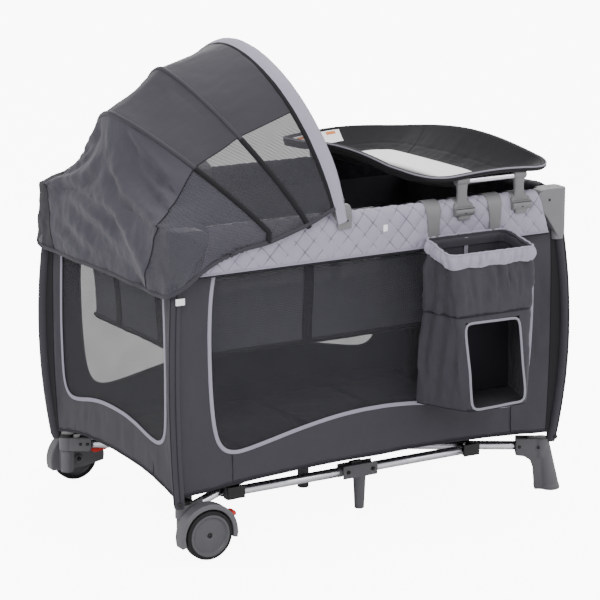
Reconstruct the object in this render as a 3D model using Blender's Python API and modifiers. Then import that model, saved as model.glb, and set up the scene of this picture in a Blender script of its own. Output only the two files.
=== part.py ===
"""Travel play yard: folding tube frame, two wheels with brakes, two fixed feet,
fabric sides, hanging bassinet, mattress, folding canopy, flip-up changer and
a hook-on organizer.  Metres, +Z up.  Origin: on the floor under the centre of
the yard.  X runs along the long side: wheels and canopy at -X (left), fixed
feet and changer at +X (right).  -Y is the front.

Every moving piece has its origin on its own joint axis.
"""
import math

import bmesh
import bpy
from mathutils import Matrix, Vector

# ------------------------------------------------------------------ shared sizes
POST_X, POST_Y = 0.495, 0.305        # corner post axes
RAIL_X, RAIL_Y = 0.508, 0.323        # centre planes of the short and long rails
RAIL_Z = 0.725                       # rail tube centre height
FLOOR_Z = 0.108                      # height of the floor tube axes

# Folding linkage: every tube turns by the same angle, so these sums must close.
DIAGONAL = math.hypot(POST_X, POST_Y)
DIAG_COS, DIAG_SIN = POST_X / DIAGONAL, POST_Y / DIAGONAL
HUB_HINGE = 0.065                    # hub centre to floor tube hinge
FOOT_HINGE = 0.045                   # post axis to floor tube hinge
FLOOR_TUBE_LENGTH = DIAGONAL - HUB_HINGE - FOOT_HINGE
RAIL_END_X = 0.045                   # post axis to long rail hinge
RAIL_END_Y = 0.032                   # post axis to short rail hinge
RAIL_LOCK_X = (HUB_HINGE + FOOT_HINGE) * DIAG_COS - RAIL_END_X   # yard centre to lock hinge
RAIL_LOCK_Y = (HUB_HINGE + FOOT_HINGE) * DIAG_SIN - RAIL_END_Y

FRONT_BACK = {"front": -1, "back": 1}            # sign of Y
LEFT_RIGHT = {"left": -1, "right": 1}            # sign of X
CORNERS = [(fb, lr, sx, sy) for fb, sy in FRONT_BACK.items() for lr, sx in LEFT_RIGHT.items()]

# ------------------------------------------------------------------ materials
PAINT = dict(color=(0.045, 0.046, 0.052), rough=0.45, metal=0.3)
SILVER = dict(color=(0.62, 0.62, 0.65), rough=0.28, metal=1.0)
PLASTIC = dict(color=(0.14, 0.14, 0.145), rough=0.5)
BLACK = dict(color=(0.02, 0.02, 0.022), rough=0.5)
GREY = dict(color=(0.25, 0.25, 0.245), rough=0.45)
RED = dict(color=(0.60, 0.03, 0.02), rough=0.4)
CHARCOAL = dict(color=(0.075, 0.073, 0.088), rough=0.9)
SLATE = dict(color=(0.12, 0.115, 0.145), rough=0.85)
MESH_BLACK = dict(color=(0.03, 0.03, 0.034), rough=0.9)
PAD = dict(color=(0.03, 0.03, 0.034), rough=0.85)


def material(name, color, rough, metal=0.0):
    mat = bpy.data.materials.get(name) or bpy.data.materials.new(name)
    mat.use_nodes = True
    shader = next(n for n in mat.node_tree.nodes if n.type == "BSDF_PRINCIPLED")
    shader.inputs["Base Color"].default_value = (*color, 1.0)
    shader.inputs["Roughness"].default_value = rough
    shader.inputs["Metallic"].default_value = metal
    return mat


# ------------------------------------------------------------------ scene
for old in list(bpy.data.objects):
    bpy.data.objects.remove(old, do_unlink=True)

PIECES = bpy.data.collections.new("travel_play_yard")
CUTTERS = bpy.data.collections.new("cutters")
bpy.context.scene.collection.children.link(PIECES)
bpy.context.scene.collection.children.link(CUTTERS)


def add(name, mesh, look, origin=(0, 0, 0)):
    """Put a world-space mesh in the model with its object origin on `origin`."""
    origin = Vector(origin)
    mesh.name = name
    mesh.transform(Matrix.Translation(-origin))
    mesh.shade_smooth()
    mesh.set_sharp_from_angle(angle=math.radians(40))
    ob = bpy.data.objects.new(name, mesh)
    ob.location = origin
    mesh.materials.clear()
    mesh.materials.append(material("m_" + name, **look))
    PIECES.objects.link(ob)
    return ob


def combine(ob, mesh, operation):
    """Boolean another world-space mesh into, or out of, an object."""
    helper = bpy.data.objects.new("cut_%03d" % (len(CUTTERS.objects) + 1), mesh)
    helper.hide_render = True
    helper.display_type = "WIRE"
    CUTTERS.objects.link(helper)
    modifier = ob.modifiers.new(operation.lower(), "BOOLEAN")
    modifier.operation = operation
    modifier.object = helper


def join(ob, mesh):
    combine(ob, mesh, "UNION")


def cut(ob, mesh):
    combine(ob, mesh, "DIFFERENCE")


def thicken(ob, name, thickness):
    """Give a sheet thickness, half to each side."""
    modifier = ob.modifiers.new(name, "SOLIDIFY")
    modifier.thickness = thickness
    modifier.offset = 0.0


# ------------------------------------------------------------------ mesh makers
def to_mesh(bm):
    bmesh.ops.recalc_face_normals(bm, faces=bm.faces)
    mesh = bpy.data.meshes.new("m")
    bm.to_mesh(mesh)
    bm.free()
    return mesh


def tube_mesh(start, end, radius, segments=12, end_radius=None):
    """A straight round bar, tapered when `end_radius` is given."""
    start, end = Vector(start), Vector(end)
    bm = bmesh.new()
    bmesh.ops.create_cone(bm, cap_ends=True, segments=segments, radius1=radius,
                          radius2=radius if end_radius is None else end_radius,
                          depth=(end - start).length)
    turn = (end - start).to_track_quat("Z", "Y").to_matrix().to_4x4()
    bmesh.ops.transform(bm, matrix=Matrix.Translation((start + end) / 2) @ turn, verts=bm.verts)
    return to_mesh(bm)


def box_mesh(low, high, bevel=0.0):
    low, high = Vector(low), Vector(high)
    bm = bmesh.new()
    bmesh.ops.create_cube(bm, size=1.0)
    bmesh.ops.scale(bm, vec=high - low, verts=bm.verts)
    bmesh.ops.translate(bm, vec=(low + high) / 2, verts=bm.verts)
    if bevel:
        bmesh.ops.bevel(bm, geom=list(bm.edges), offset=bevel, segments=1, affect="EDGES")
    return to_mesh(bm)


def curve_bmesh(curve, points, cyclic):
    """Run a curve's polyline through the points and return its welded surface."""
    spline = curve.splines.new("POLY")
    spline.points.add(len(points) - 1)
    for spline_point, co in zip(spline.points, points):
        spline_point.co = (*co, 1)
    spline.use_cyclic_u = cyclic
    ob = bpy.data.objects.new("c", curve)
    PIECES.objects.link(ob)
    bpy.context.view_layer.update()
    depsgraph = bpy.context.evaluated_depsgraph_get()
    mesh = bpy.data.meshes.new_from_object(ob.evaluated_get(depsgraph))
    bpy.data.objects.remove(ob, do_unlink=True)
    bm = bmesh.new()
    bm.from_mesh(mesh)
    bmesh.ops.remove_doubles(bm, verts=bm.verts, dist=0.00002)
    return bm


def flat_mesh(outline, thickness, place=Matrix(), centre=0.0):
    """A flat outline (x, y) given thickness along z about `centre`, then placed."""
    curve = bpy.data.curves.new("c", "CURVE")
    curve.dimensions = "2D"
    curve.fill_mode = "BOTH"
    curve.extrude = thickness / 2
    bm = curve_bmesh(curve, [(x, y, 0) for x, y in outline], cyclic=True)
    bmesh.ops.transform(bm, matrix=place @ Matrix.Translation((0, 0, centre)), verts=bm.verts)
    return to_mesh(bm)


def wire_mesh(points, radius, cyclic=False):
    """A bent round bar through the points."""
    curve = bpy.data.curves.new("c", "CURVE")
    curve.dimensions = "3D"
    curve.bevel_depth = radius
    curve.bevel_resolution = 1
    curve.use_fill_caps = not cyclic
    return to_mesh(curve_bmesh(curve, points, cyclic))


def grid_mesh(rows):
    """An open sheet through equal rows of points."""
    bm = bmesh.new()
    grid = [[bm.verts.new(point) for point in row] for row in rows]
    for row, following in zip(grid, grid[1:]):
        for i in range(len(row) - 1):
            bm.faces.new((row[i], row[i + 1], following[i + 1], following[i]))
    return to_mesh(bm)


# ------------------------------------------------------------------ outline helpers
def frame_of(x, y, z, origin=(0, 0, 0)):
    """Placement matrix whose columns are the local x, y and z directions."""
    matrix = Matrix((Vector(x), Vector(y), Vector(z))).transposed().to_4x4()
    matrix.translation = Vector(origin)
    return matrix


XZ = frame_of((1, 0, 0), (0, 0, 1), (0, -1, 0))      # outline x -> X, y -> Z
YZ = frame_of((0, 1, 0), (0, 0, 1), (1, 0, 0))       # outline x -> Y, y -> Z


def arc(cx, cy, radius, start, end, steps):
    """Points on an arc; angles in degrees."""
    angles = [math.radians(start + (end - start) * i / steps) for i in range(steps + 1)]
    return [(cx + radius * math.cos(a), cy + radius * math.sin(a)) for a in angles]


def rounded(x0, y0, x1, y1, radius, corner_steps, side_steps):
    """Rounded rectangle, anticlockwise, its two Y-running sides split into `side_steps`."""
    run = y1 - y0 - 2 * radius
    points = arc(x1 - radius, y1 - radius, radius, 0, 90, corner_steps)
    points += arc(x0 + radius, y1 - radius, radius, 90, 180, corner_steps)
    points += [(x0, y1 - radius - run * i / side_steps) for i in range(1, side_steps)]
    points += arc(x0 + radius, y0 + radius, radius, 180, 270, corner_steps)
    points += arc(x1 - radius, y0 + radius, radius, 270, 360, corner_steps)
    points += [(x1, y0 + radius + run * i / side_steps) for i in range(1, side_steps)]
    return points


def mirrored(outline, sx, sy):
    """The outline flipped by the signs, its turning direction kept."""
    points = [(x * sx, y * sy) for x, y in outline]
    return points if sx * sy > 0 else points[::-1]


def side_profile(outline, sy, x, width):
    """A (distance from the centre plane, height) outline given width along X about `x`."""
    return flat_mesh(mirrored(outline, sy, 1), width, YZ, centre=x)


def cheek_block(hinge, block, ear, gap, wall):
    """Top view of a centre block with a pair of cheeks reaching past each hinge."""
    end = hinge + ear
    outer = gap + wall
    inner = gap - 0.0004             # the block is slightly narrower than the gap
    return [(end, -outer), (end, -gap), (block, -inner), (block, inner), (end, gap), (end, outer),
            (-end, outer), (-end, gap), (-block, inner), (-block, -inner),
            (-end, -gap), (-end, -outer)]


def corner_frame(sx, sy):
    """Outward diagonal, the level direction across it, and the foot of the post."""
    along = Vector((sx * DIAG_COS, sy * DIAG_SIN, 0))
    across = Vector((-sy * DIAG_SIN, sx * DIAG_COS, 0))
    return along, across, Vector((sx * POST_X, sy * POST_Y, 0))


# ------------------------------------------------------------------ corners
POST_RADIUS = 0.0125
POST_TOP = 0.6247
POST_BOTTOM = {"left": 0.1263, "right": 0.1303}
BRACKET_X, BRACKET_Y = 0.530, 0.340  # outer faces of the corner brackets
BRACKET_CORNER = 0.018               # outer corner radius
BRACKET_HEIGHT, BRACKET_Z = 0.120, 0.685

# Bracket seen from above, (x, y), back right corner; grooves take the rail ends.
BRACKET_OUTLINE = (
    [(BRACKET_X, 0.261)]
    + arc(BRACKET_X - BRACKET_CORNER, BRACKET_Y - BRACKET_CORNER, BRACKET_CORNER, 0, 90, 4)
    + [(0.438, BRACKET_Y), (0.438, 0.3365), (0.4635, 0.3365), (0.4635, 0.3095),
       (0.438, 0.3095), (0.438, 0.3055), (0.4635, 0.3055), (0.4635, 0.2865),
       (0.4905, 0.2865), (0.4905, 0.261), (0.4945, 0.261), (0.4945, 0.2865),
       (0.5215, 0.2865), (0.5215, 0.261)])


def build_corners():
    for fb, lr, sx, sy in CORNERS:
        x, y = sx * POST_X, sy * POST_Y
        add(f"post_{fb}_{lr}",
            tube_mesh((x, y, POST_BOTTOM[lr]), (x, y, POST_TOP), POST_RADIUS, 14),
            PAINT, (x, y, FLOOR_Z))
        add(f"corner_bracket_{fb}_{lr}",
            flat_mesh(mirrored(BRACKET_OUTLINE, sx, sy), BRACKET_HEIGHT, centre=BRACKET_Z),
            PLASTIC, (x, y, FLOOR_Z))


# ------------------------------------------------------------------ rails
RAIL_RADIUS = 0.0125
LOCK_GAP = 0.0135                    # half gap between the cheeks; also hinge to block
LOCK_HEIGHT = 0.026


def build_rails():
    for fb, lr, sx, sy in CORNERS:
        hinge = (sx * (POST_X - RAIL_END_X), sy * RAIL_Y, RAIL_Z)
        inner = (sx * RAIL_LOCK_X, sy * RAIL_Y, RAIL_Z)
        add(f"rail_{fb}_{lr}", tube_mesh(hinge, inner, RAIL_RADIUS, 14), PAINT, hinge)
        hinge = (sx * RAIL_X, sy * (POST_Y - RAIL_END_Y), RAIL_Z)
        inner = (sx * RAIL_X, sy * RAIL_LOCK_Y, RAIL_Z)
        add(f"end_rail_{lr}_{fb}", tube_mesh(hinge, inner, RAIL_RADIUS, 14), PAINT, hinge)


def add_rail_lock(name, hinge_reach, place, origin):
    outline = cheek_block(hinge_reach, hinge_reach - LOCK_GAP, ear=0.012, gap=LOCK_GAP, wall=0.003)
    add("rail_lock_" + name, flat_mesh(outline, LOCK_HEIGHT, place), PLASTIC, origin)


def build_rail_locks():
    for name, sy in FRONT_BACK.items():
        place = Matrix.Translation((0, sy * RAIL_Y, RAIL_Z))
        add_rail_lock(name, RAIL_LOCK_X, place, (RAIL_LOCK_X, sy * RAIL_Y, RAIL_Z))
    for name, sx in LEFT_RIGHT.items():
        place = Matrix.Translation((sx * RAIL_X, 0, RAIL_Z)) @ Matrix.Rotation(math.pi / 2, 4, "Z")
        add_rail_lock(name, RAIL_LOCK_Y, place, (sx * RAIL_X, -RAIL_LOCK_Y, RAIL_Z))


# ------------------------------------------------------------------ floor frame
FLOOR_TUBE_RADIUS = 0.011
HUB_DISC = 0.050                     # hub disc radius
HUB_ARM = 0.077                      # hub centre to cheek end
HUB_GAP, HUB_CHEEK = 0.0120, 0.0155  # half widths inside and outside each pair of cheeks
CLAMP_X = 0.335                      # clamp place along X, on the floor tube
CLAMP_Y = CLAMP_X * DIAG_SIN / DIAG_COS
SIDE_Y = CLAMP_Y + 0.031             # side tubes lie outboard of the floor tubes
SIDE_RADIUS = 0.0115
MID_HINGE = 0.036                    # middle foot centre to side tube hinge
CLAMP_HINGE = HUB_HINGE * DIAG_COS - MID_HINGE   # clamp to side tube hinge

# Clamp seen from above, (x, y), back right corner.
CLAMP_OUTLINE = [
    (0.3047, 0.2223), (0.3282, 0.2223), (0.3282, 0.2168), (0.352, 0.2315),
    (0.352, 0.2525), (0.3047, 0.2525), (0.3047, 0.2495), (0.3282, 0.2495),
    (0.3282, 0.2253), (0.3047, 0.2253)]


def build_floor_tubes():
    for fb, lr, sx, sy in CORNERS:
        along, _, _ = corner_frame(sx, sy)
        inner = along * HUB_HINGE + Vector((0, 0, FLOOR_Z))
        outer = along * (HUB_HINGE + FLOOR_TUBE_LENGTH) + Vector((0, 0, FLOOR_Z))
        add(f"floor_tube_{fb}_{lr}", tube_mesh(outer, inner, FLOOR_TUBE_RADIUS), SILVER,
            outer if (fb, lr) == ("front", "right") else inner)


def hub_outline():
    """Disc with a pair of cheeks towards each corner post, anticlockwise."""
    def on_disc(offset):
        return math.sqrt(HUB_DISC ** 2 - offset ** 2)

    # (distance along the arm, distance across it)
    arm = [(on_disc(HUB_CHEEK), -HUB_CHEEK), (HUB_ARM, -HUB_CHEEK), (HUB_ARM, -HUB_GAP),
           (on_disc(HUB_GAP), -HUB_GAP), (HUB_DISC, 0), (on_disc(HUB_GAP), HUB_GAP),
           (HUB_ARM, HUB_GAP), (HUB_ARM, HUB_CHEEK), (on_disc(HUB_CHEEK), HUB_CHEEK)]
    diag = math.atan2(DIAG_SIN, DIAG_COS)
    headings = (diag, math.pi - diag, math.pi + diag, 2 * math.pi - diag, 2 * math.pi + diag)
    half_arm = math.asin(HUB_CHEEK / HUB_DISC)
    points = []
    for heading, following in zip(headings, headings[1:]):
        cos, sin = math.cos(heading), math.sin(heading)
        points += [(a * cos - b * sin, a * sin + b * cos) for a, b in arm]
        start, end = heading + half_arm, following - half_arm
        for i in range(1, 4):
            angle = start + (end - start) * i / 4
            points.append((HUB_DISC * math.cos(angle), HUB_DISC * math.sin(angle)))
    return points


def build_floor_hub():
    hub = add("floor_hub", flat_mesh(hub_outline(), 0.036, centre=FLOOR_Z), PLASTIC,
              (DIAG_COS * HUB_HINGE, -DIAG_SIN * HUB_HINGE, FLOOR_Z))
    join(hub, tube_mesh((0, 0, 0.0), (0, 0, 0.100), 0.014))     # leg down to the floor


def build_clamps_and_side_tubes():
    for fb, lr, sx, sy in CORNERS:
        add(f"tube_clamp_{fb}_{lr}",
            flat_mesh(mirrored(CLAMP_OUTLINE, sx, sy), 0.031, centre=FLOOR_Z),
            BLACK, (sx * CLAMP_X, sy * CLAMP_Y, FLOOR_Z))
        hinge = (sx * (CLAMP_X - CLAMP_HINGE), sy * SIDE_Y, FLOOR_Z)
        inner = (sx * MID_HINGE, sy * SIDE_Y, FLOOR_Z)
        add(f"side_tube_{fb}_{lr}", tube_mesh(hinge, inner, SIDE_RADIUS), SILVER, hinge)


def build_middle_feet():
    outline = cheek_block(MID_HINGE, MID_HINGE - 0.0125, ear=0.012, gap=0.0123, wall=0.0035)
    for name, sy in FRONT_BACK.items():
        y = sy * SIDE_Y
        foot = add("middle_foot_" + name,
                   flat_mesh(outline, 0.033, Matrix.Translation((0, y, FLOOR_Z))),
                   PLASTIC, (MID_HINGE, y, FLOOR_Z))
        leg = tube_mesh((0, y, 0.001), (0, y, 0.1045), 0.0107, end_radius=0.0117)
        # The leg stands slightly off the block's centre.
        leg.transform(Matrix.Translation((0.0004, sy * 0.0002, 0)))
        join(foot, leg)


# ------------------------------------------------------------------ corner feet
FOOT_WIDTH = 0.033

# Side views: (distance outward along the diagonal from the post axis, height).
FOOT_OUTLINE = [
    (0.012, 0.130), (-0.062, 0.130), (-0.062, 0.086), (-0.040, 0.083), (-0.026, 0.074),
    (-0.018, 0.052), (-0.0145, 0.012), (-0.0145, 0.0), (0.0415, 0.0), (0.0415, 0.010),
    (0.018, 0.070), (0.013, 0.084)]
WHEEL_BRACKET_OUTLINE = [
    (0.010, 0.126), (-0.062, 0.126), (-0.062, 0.096), (-0.056, 0.0915), (0.010, 0.0915)]


def build_corner_feet():
    """Fixed feet at the right, wheel brackets at the left."""
    up = Vector((0, 0, 1))
    for fb, lr, sx, sy in CORNERS:
        along, across, post = corner_frame(sx, sy)
        if lr == "right":
            name, outline = f"foot_{fb}_{lr}", FOOT_OUTLINE
        else:
            name, outline = f"wheel_bracket_{fb}", WHEEL_BRACKET_OUTLINE
        foot = add(name, flat_mesh(outline, FOOT_WIDTH, frame_of(along, up, along.cross(up), post)),
                   PLASTIC, post + Vector((0, 0, FLOOR_Z)))
        # slot for the floor tube end
        slot = box_mesh((-0.080, -0.0120, 0.0955), (-0.0320, 0.0120, 0.180))
        slot.transform(frame_of(along, across, up, post))
        cut(foot, slot)


# ------------------------------------------------------------------ wheels
WHEEL_RADIUS = 0.0575
WHEEL_HALF = 0.013                   # half width of the tyre
WHEEL_X, WHEEL_Y = -0.455, 0.346
TYRE_BEVEL, TYRE_SHOULDER = 0.004, 0.005         # chamfer across and along the axle
AXLE_RADIUS = 0.004
GUARD_INNER, GUARD_OUTER = 0.0605, 0.0645        # mudguard rim radii
WEB_Y = WHEEL_Y - 0.0165             # middle of the mudguard web

# Half section of the wheel: (radius, distance along the axle towards -Y).
WHEEL_PROFILE = [
    (WHEEL_RADIUS - TYRE_BEVEL, WHEEL_HALF), (WHEEL_RADIUS, WHEEL_HALF - TYRE_SHOULDER),
    (WHEEL_RADIUS, -WHEEL_HALF + TYRE_SHOULDER), (WHEEL_RADIUS - TYRE_BEVEL, -WHEEL_HALF),
    (0.045, -WHEEL_HALF), (0.042, -0.006), (0.010, -0.008), (0.0048, -0.008),
    (0.0048, 0.008), (0.010, 0.008), (0.042, 0.007), (0.045, WHEEL_HALF)]

# Pedal side view: (x, z) from its pivot.
PEDAL_X, PEDAL_Y, PEDAL_Z = WHEEL_X + 0.040, 0.3160, 0.080
PEDAL_OUTLINE = [
    (-0.008, -0.006), (0.004, -0.008), (0.026, -0.003), (0.050, -0.002), (0.058, 0.001),
    (0.055, 0.006), (0.030, 0.006), (0.010, 0.008), (-0.006, 0.007)]


def build_mudguard(name, sy):
    """Inboard web, rim over the tyre, stem under the bracket, strut and axle."""
    place = Matrix.Translation((WHEEL_X, 0, WHEEL_RADIUS)) @ XZ
    outer = arc(0, 0, GUARD_OUTER, -8, 192, 20)
    web = outer + [(-0.030, -0.022), (0.016, -0.022)]
    guard = add("mudguard_" + name, flat_mesh(web, 0.004, place, centre=-sy * WEB_Y),
                PLASTIC, (WHEEL_X, sy * WHEEL_Y, WHEEL_RADIUS))
    rim = outer + arc(0, 0, GUARD_INNER, 192, -8, 20)
    join(guard, flat_mesh(rim, 0.034, place, centre=-sy * (WHEEL_Y - 0.0015)))
    join(guard, tube_mesh((-POST_X, sy * POST_Y, 0.040), (-POST_X, sy * POST_Y, 0.0912), 0.0150))
    y0, y1 = sorted((sy * 0.300, sy * WEB_Y))
    join(guard, box_mesh((-POST_X - 0.006, y0, 0.044), (-POST_X + 0.016, y1, 0.088)))
    join(guard, tube_mesh((WHEEL_X, sy * (WHEEL_Y - 0.0175), WHEEL_RADIUS),
                          (WHEEL_X, sy * (WHEEL_Y + 0.0105), WHEEL_RADIUS), AXLE_RADIUS, 10))


def build_wheel(name, sy):
    centre = Vector((WHEEL_X, sy * WHEEL_Y, WHEEL_RADIUS))
    bm = bmesh.new()
    section = [bm.verts.new((radius, 0, height)) for radius, height in WHEEL_PROFILE]
    edges = [bm.edges.new(pair) for pair in zip(section, section[1:] + section[:1])]
    bmesh.ops.spin(bm, geom=section + edges, cent=(0, 0, 0), axis=(0, 0, 1),
                   angle=2 * math.pi, steps=28, use_merge=True)
    bmesh.ops.remove_doubles(bm, verts=bm.verts, dist=0.00005)
    place = Matrix.Translation(centre) @ Matrix.Rotation(math.pi / 2, 4, "X")
    bmesh.ops.transform(bm, matrix=place, verts=bm.verts)
    add("wheel_" + name, to_mesh(bm), BLACK, centre)


def build_brake_pedal(name, sy):
    """Pedal on the inboard side of the mudguard."""
    pivot = Vector((PEDAL_X, sy * PEDAL_Y, PEDAL_Z))
    place = Matrix.Translation((pivot.x, 0, pivot.z)) @ XZ
    add("brake_pedal_" + name, flat_mesh(PEDAL_OUTLINE, 0.018, place, centre=-pivot.y), RED, pivot)


def build_wheels():
    for name, sy in FRONT_BACK.items():
        build_mudguard(name, sy)
        build_wheel(name, sy)
        build_brake_pedal(name, sy)


# ------------------------------------------------------------------ canopy
CANOPY_X, CANOPY_Z = -0.103, 0.745   # canopy hinge line
BOW_HALF_WIDTH, BOW_RADIUS = 0.347, 0.004
BOW_FOOT_Z = 0.734
BOW_SAMPLES = 240                    # fine steps along a bow before even spacing
COVER_GAP = 0.009                    # cover surface outside the bow axes
COVER_STEPS = (4, 3, 4, 2)           # rows between bows and hem lines, front to rear
COVER_COLUMNS = 26
BOWS = {                             # foot x, top x, top z, width and height exponents
    "canopy_bow_front": (CANOPY_X, -0.221, 1.112, 2.1, 2.3),
    "canopy_bow_middle": (-0.195, -0.377, 1.060, 1.45, 1.5),
    "canopy_bow_rear": (-0.299, -0.506, 0.965, 1.5, 1.45),
}

# Clip hooked over a long rail: (distance from the centre plane, height).
# The first six points are the underside, shared with the changer clamps.
CLIP_OUTLINE = [
    (0.3055, 0.700), (0.3095, 0.700), (0.3095, 0.7385), (0.3365, 0.7385),
    (0.3365, 0.700), (0.3415, 0.700), (0.3415, 0.760), (0.3365, 0.765),
    (0.3105, 0.765), (0.3055, 0.760)]


def build_canopy_clips():
    for name, sy in FRONT_BACK.items():
        add("canopy_clip_" + name, side_profile(CLIP_OUTLINE, sy, CANOPY_X, 0.044), GREY,
            (CANOPY_X, sy * RAIL_Y, CANOPY_Z))


def bow_point(bow, t, grow):
    """Point on an arched bow, t from -1 (front foot) to 1 (back foot)."""
    foot_x, top_x, top_z, width_power, height_power = bow
    angle = t * math.pi / 2
    sin, cos = math.sin(angle), math.cos(angle)
    y = math.copysign(abs(sin) ** (2 / width_power), sin) * (BOW_HALF_WIDTH + grow)
    rise = abs(cos) ** (2 / height_power)
    scale = 1 + grow / math.hypot(top_x - foot_x, top_z - BOW_FOOT_Z)
    return Vector((foot_x + (top_x - foot_x) * rise * scale, y,
                   BOW_FOOT_Z + (top_z - BOW_FOOT_Z) * rise * scale))


def evenly(points, steps):
    """Resample a polyline to steps + 1 evenly spaced points."""
    travel = [0.0]
    for a, b in zip(points, points[1:]):
        travel.append(travel[-1] + (b - a).length)
    resampled, j = [], 0
    for i in range(steps + 1):
        target = travel[-1] * i / steps
        while j < len(points) - 2 and travel[j + 1] < target:
            j += 1
        part = (target - travel[j]) / max(travel[j + 1] - travel[j], 1e-9)
        resampled.append(points[j].lerp(points[j + 1], min(max(part, 0), 1)))
    return resampled


def bow_line(bow, steps, grow=0.0):
    fine = [bow_point(bow, -1 + 2 * i / BOW_SAMPLES, grow) for i in range(BOW_SAMPLES + 1)]
    return evenly(fine, steps)


def build_canopy_bows():
    for name, bow in BOWS.items():
        add(name, wire_mesh(bow_line(bow, 30), BOW_RADIUS), PAINT, (CANOPY_X, 0, CANOPY_Z))


def hem_line(z_mid, z_side, x, y, foot_x, foot_z):
    """Line of the cover round the -X end of the yard, from front to back."""
    half = [Vector((foot_x, -y, foot_z)), Vector((x * 0.93, -y, (foot_z + z_side) / 2)),
            Vector((x + 0.02, -y, z_side)), Vector((x, -y + 0.02, z_side)),
            Vector((x, -y * 0.5, z_mid)), Vector((x, 0, z_mid))]
    other_half = [Vector((p.x, -p.y, p.z)) for p in reversed(half[:-1])]
    return evenly(half + other_half, COVER_COLUMNS)


def build_canopy_cover():
    """Cloth from the front bow over the other bows to the rear hem."""
    lines = [bow_line(bow, COVER_COLUMNS, COVER_GAP) for bow in BOWS.values()]
    lines.append(hem_line(z_mid=0.775, z_side=0.752, x=-0.543, y=0.3560,
                          foot_x=-0.400, foot_z=0.705))
    lines.append(hem_line(z_mid=0.600, z_side=0.625, x=-0.546, y=0.3580,
                          foot_x=-0.410, foot_z=0.672))
    rows = []
    for line, following, steps in zip(lines, lines[1:], COVER_STEPS):
        for i in range(steps):
            rows.append([p.lerp(q, i / steps) for p, q in zip(line, following)])
    rows.append(lines[-1])
    thicken(add("canopy_cover", grid_mesh(rows), SLATE), "cloth", 0.0018)


# ------------------------------------------------------------------ changer
CHANGER_X0, CHANGER_X1 = 0.115, 0.495
CHANGER_Y0, CHANGER_Y1 = -0.352, 0.345
CHANGER_Z = 0.806
CHANGER_ARCH = 0.035                 # rise of the rim at the middle
ARCH_SPAN = 0.70
CHANGER_BAR_Y, CHANGER_BAR_Z = -0.3400, 0.800    # crossbar above the clamps
CLAMPS_X = {"left": 0.236, "right": 0.385}
FLIP_Y, FLIP_Z = -0.335, 0.757       # flip hinge line
CHANGER_PIVOT = ((CLAMPS_X["left"] + CLAMPS_X["right"]) / 2, FLIP_Y, FLIP_Z)
CLAMP_BASE_OUTLINE = CLIP_OUTLINE[:6] + [(0.3415, 0.7455), (0.3055, 0.7455)]
TRAY_COLUMNS, TRAY_ROWS = 6, 14
TRAY_Y0, TRAY_LENGTH = -0.322, 0.642
TRAY_HALF_WIDTH = 0.1775
TRAY_SAG = 0.030


def rim_point(x, y):
    arch = max(0.0, math.cos(math.pi * y / ARCH_SPAN)) ** 1.2
    return Vector((x, y, CHANGER_Z + CHANGER_ARCH * arch))


def build_changer_frame():
    """Rim loop, crossbar, a knuckle and tongue per clamp, and two back legs."""
    loop = [rim_point(x, y) for x, y in
            rounded(CHANGER_X0, CHANGER_Y0, CHANGER_X1, CHANGER_Y1, 0.075, 4, 7)]
    frame = add("changer_frame", wire_mesh(loop, 0.008, cyclic=True), SILVER, CHANGER_PIVOT)
    join(frame, tube_mesh((CLAMPS_X["left"] - 0.02, CHANGER_BAR_Y, CHANGER_BAR_Z),
                          (CLAMPS_X["right"] + 0.02, CHANGER_BAR_Y, CHANGER_BAR_Z), 0.0075, 10))
    for x in CLAMPS_X.values():
        join(frame, tube_mesh((x - 0.0172, FLIP_Y, FLIP_Z), (x + 0.0172, FLIP_Y, FLIP_Z), 0.0082))
        join(frame, box_mesh((x - 0.0160, FLIP_Y - 0.0045, FLIP_Z),
                             (x + 0.0160, FLIP_Y + 0.0045, CHANGER_BAR_Z)))
        join(frame, tube_mesh((x, 0.326, 0.7405), (x, 0.343, CHANGER_Z), 0.0065, 8))


def build_changer_clamps():
    """Hooks over the front rail, each with a cheek on either side of the knuckle."""
    for name, x in CLAMPS_X.items():
        clamp = add("changer_clamp_" + name, side_profile(CLAMP_BASE_OUTLINE, -1, x, 0.048),
                    GREY, (x, FLIP_Y, FLIP_Z))
        for side in (-1, 1):
            x0, x1 = sorted((x + side * 0.0180, x + side * 0.0240))
            join(clamp, box_mesh((x0, -0.3465, 0.7410), (x1, -0.3235, 0.7680)))


def build_changer_pad():
    """Sagging tray inside the rim, narrowed at both ends."""
    rows = []
    for j in range(TRAY_ROWS + 1):
        y = TRAY_Y0 + TRAY_LENGTH * j / TRAY_ROWS
        along = j / TRAY_ROWS * 2 - 1
        half = TRAY_HALF_WIDTH - 0.030 * max(0.0, abs(along) - 0.85) / 0.15
        row = []
        for i in range(TRAY_COLUMNS + 1):
            across = i / TRAY_COLUMNS * 2 - 1
            x = (CHANGER_X0 + CHANGER_X1) / 2 + across * half
            sag = TRAY_SAG * (1 - across ** 2) * (1 - along ** 8)
            row.append((x, y, rim_point(x, y).z - 0.004 - sag))
        rows.append(row)
    thicken(add("changer_pad", grid_mesh(rows), BLACK, CHANGER_PIVOT), "pad", 0.012)


# ------------------------------------------------------------------ organizer
HOOKS_X = (0.146, 0.312)
HOOK_WIDTH = 0.034
ORGANIZER_ORIGIN = (HOOKS_X[0], -RAIL_Y, RAIL_Z)
BAG_LOW, BAG_HIGH = (0.110, -0.492, 0.285), (0.325, -0.352, 0.660)
BAG_WALL = 0.004

# Hook over the front rail: (distance from the centre plane, height).
HOOK_OUTLINE = [
    (0.3045, 0.700), (0.3085, 0.700), (0.3085, 0.7395), (0.3375, 0.7395),
    (0.3375, 0.665), (0.3425, 0.665), (0.3425, 0.742), (0.3395, 0.7445),
    (0.3075, 0.7445), (0.3045, 0.742)]


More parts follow.
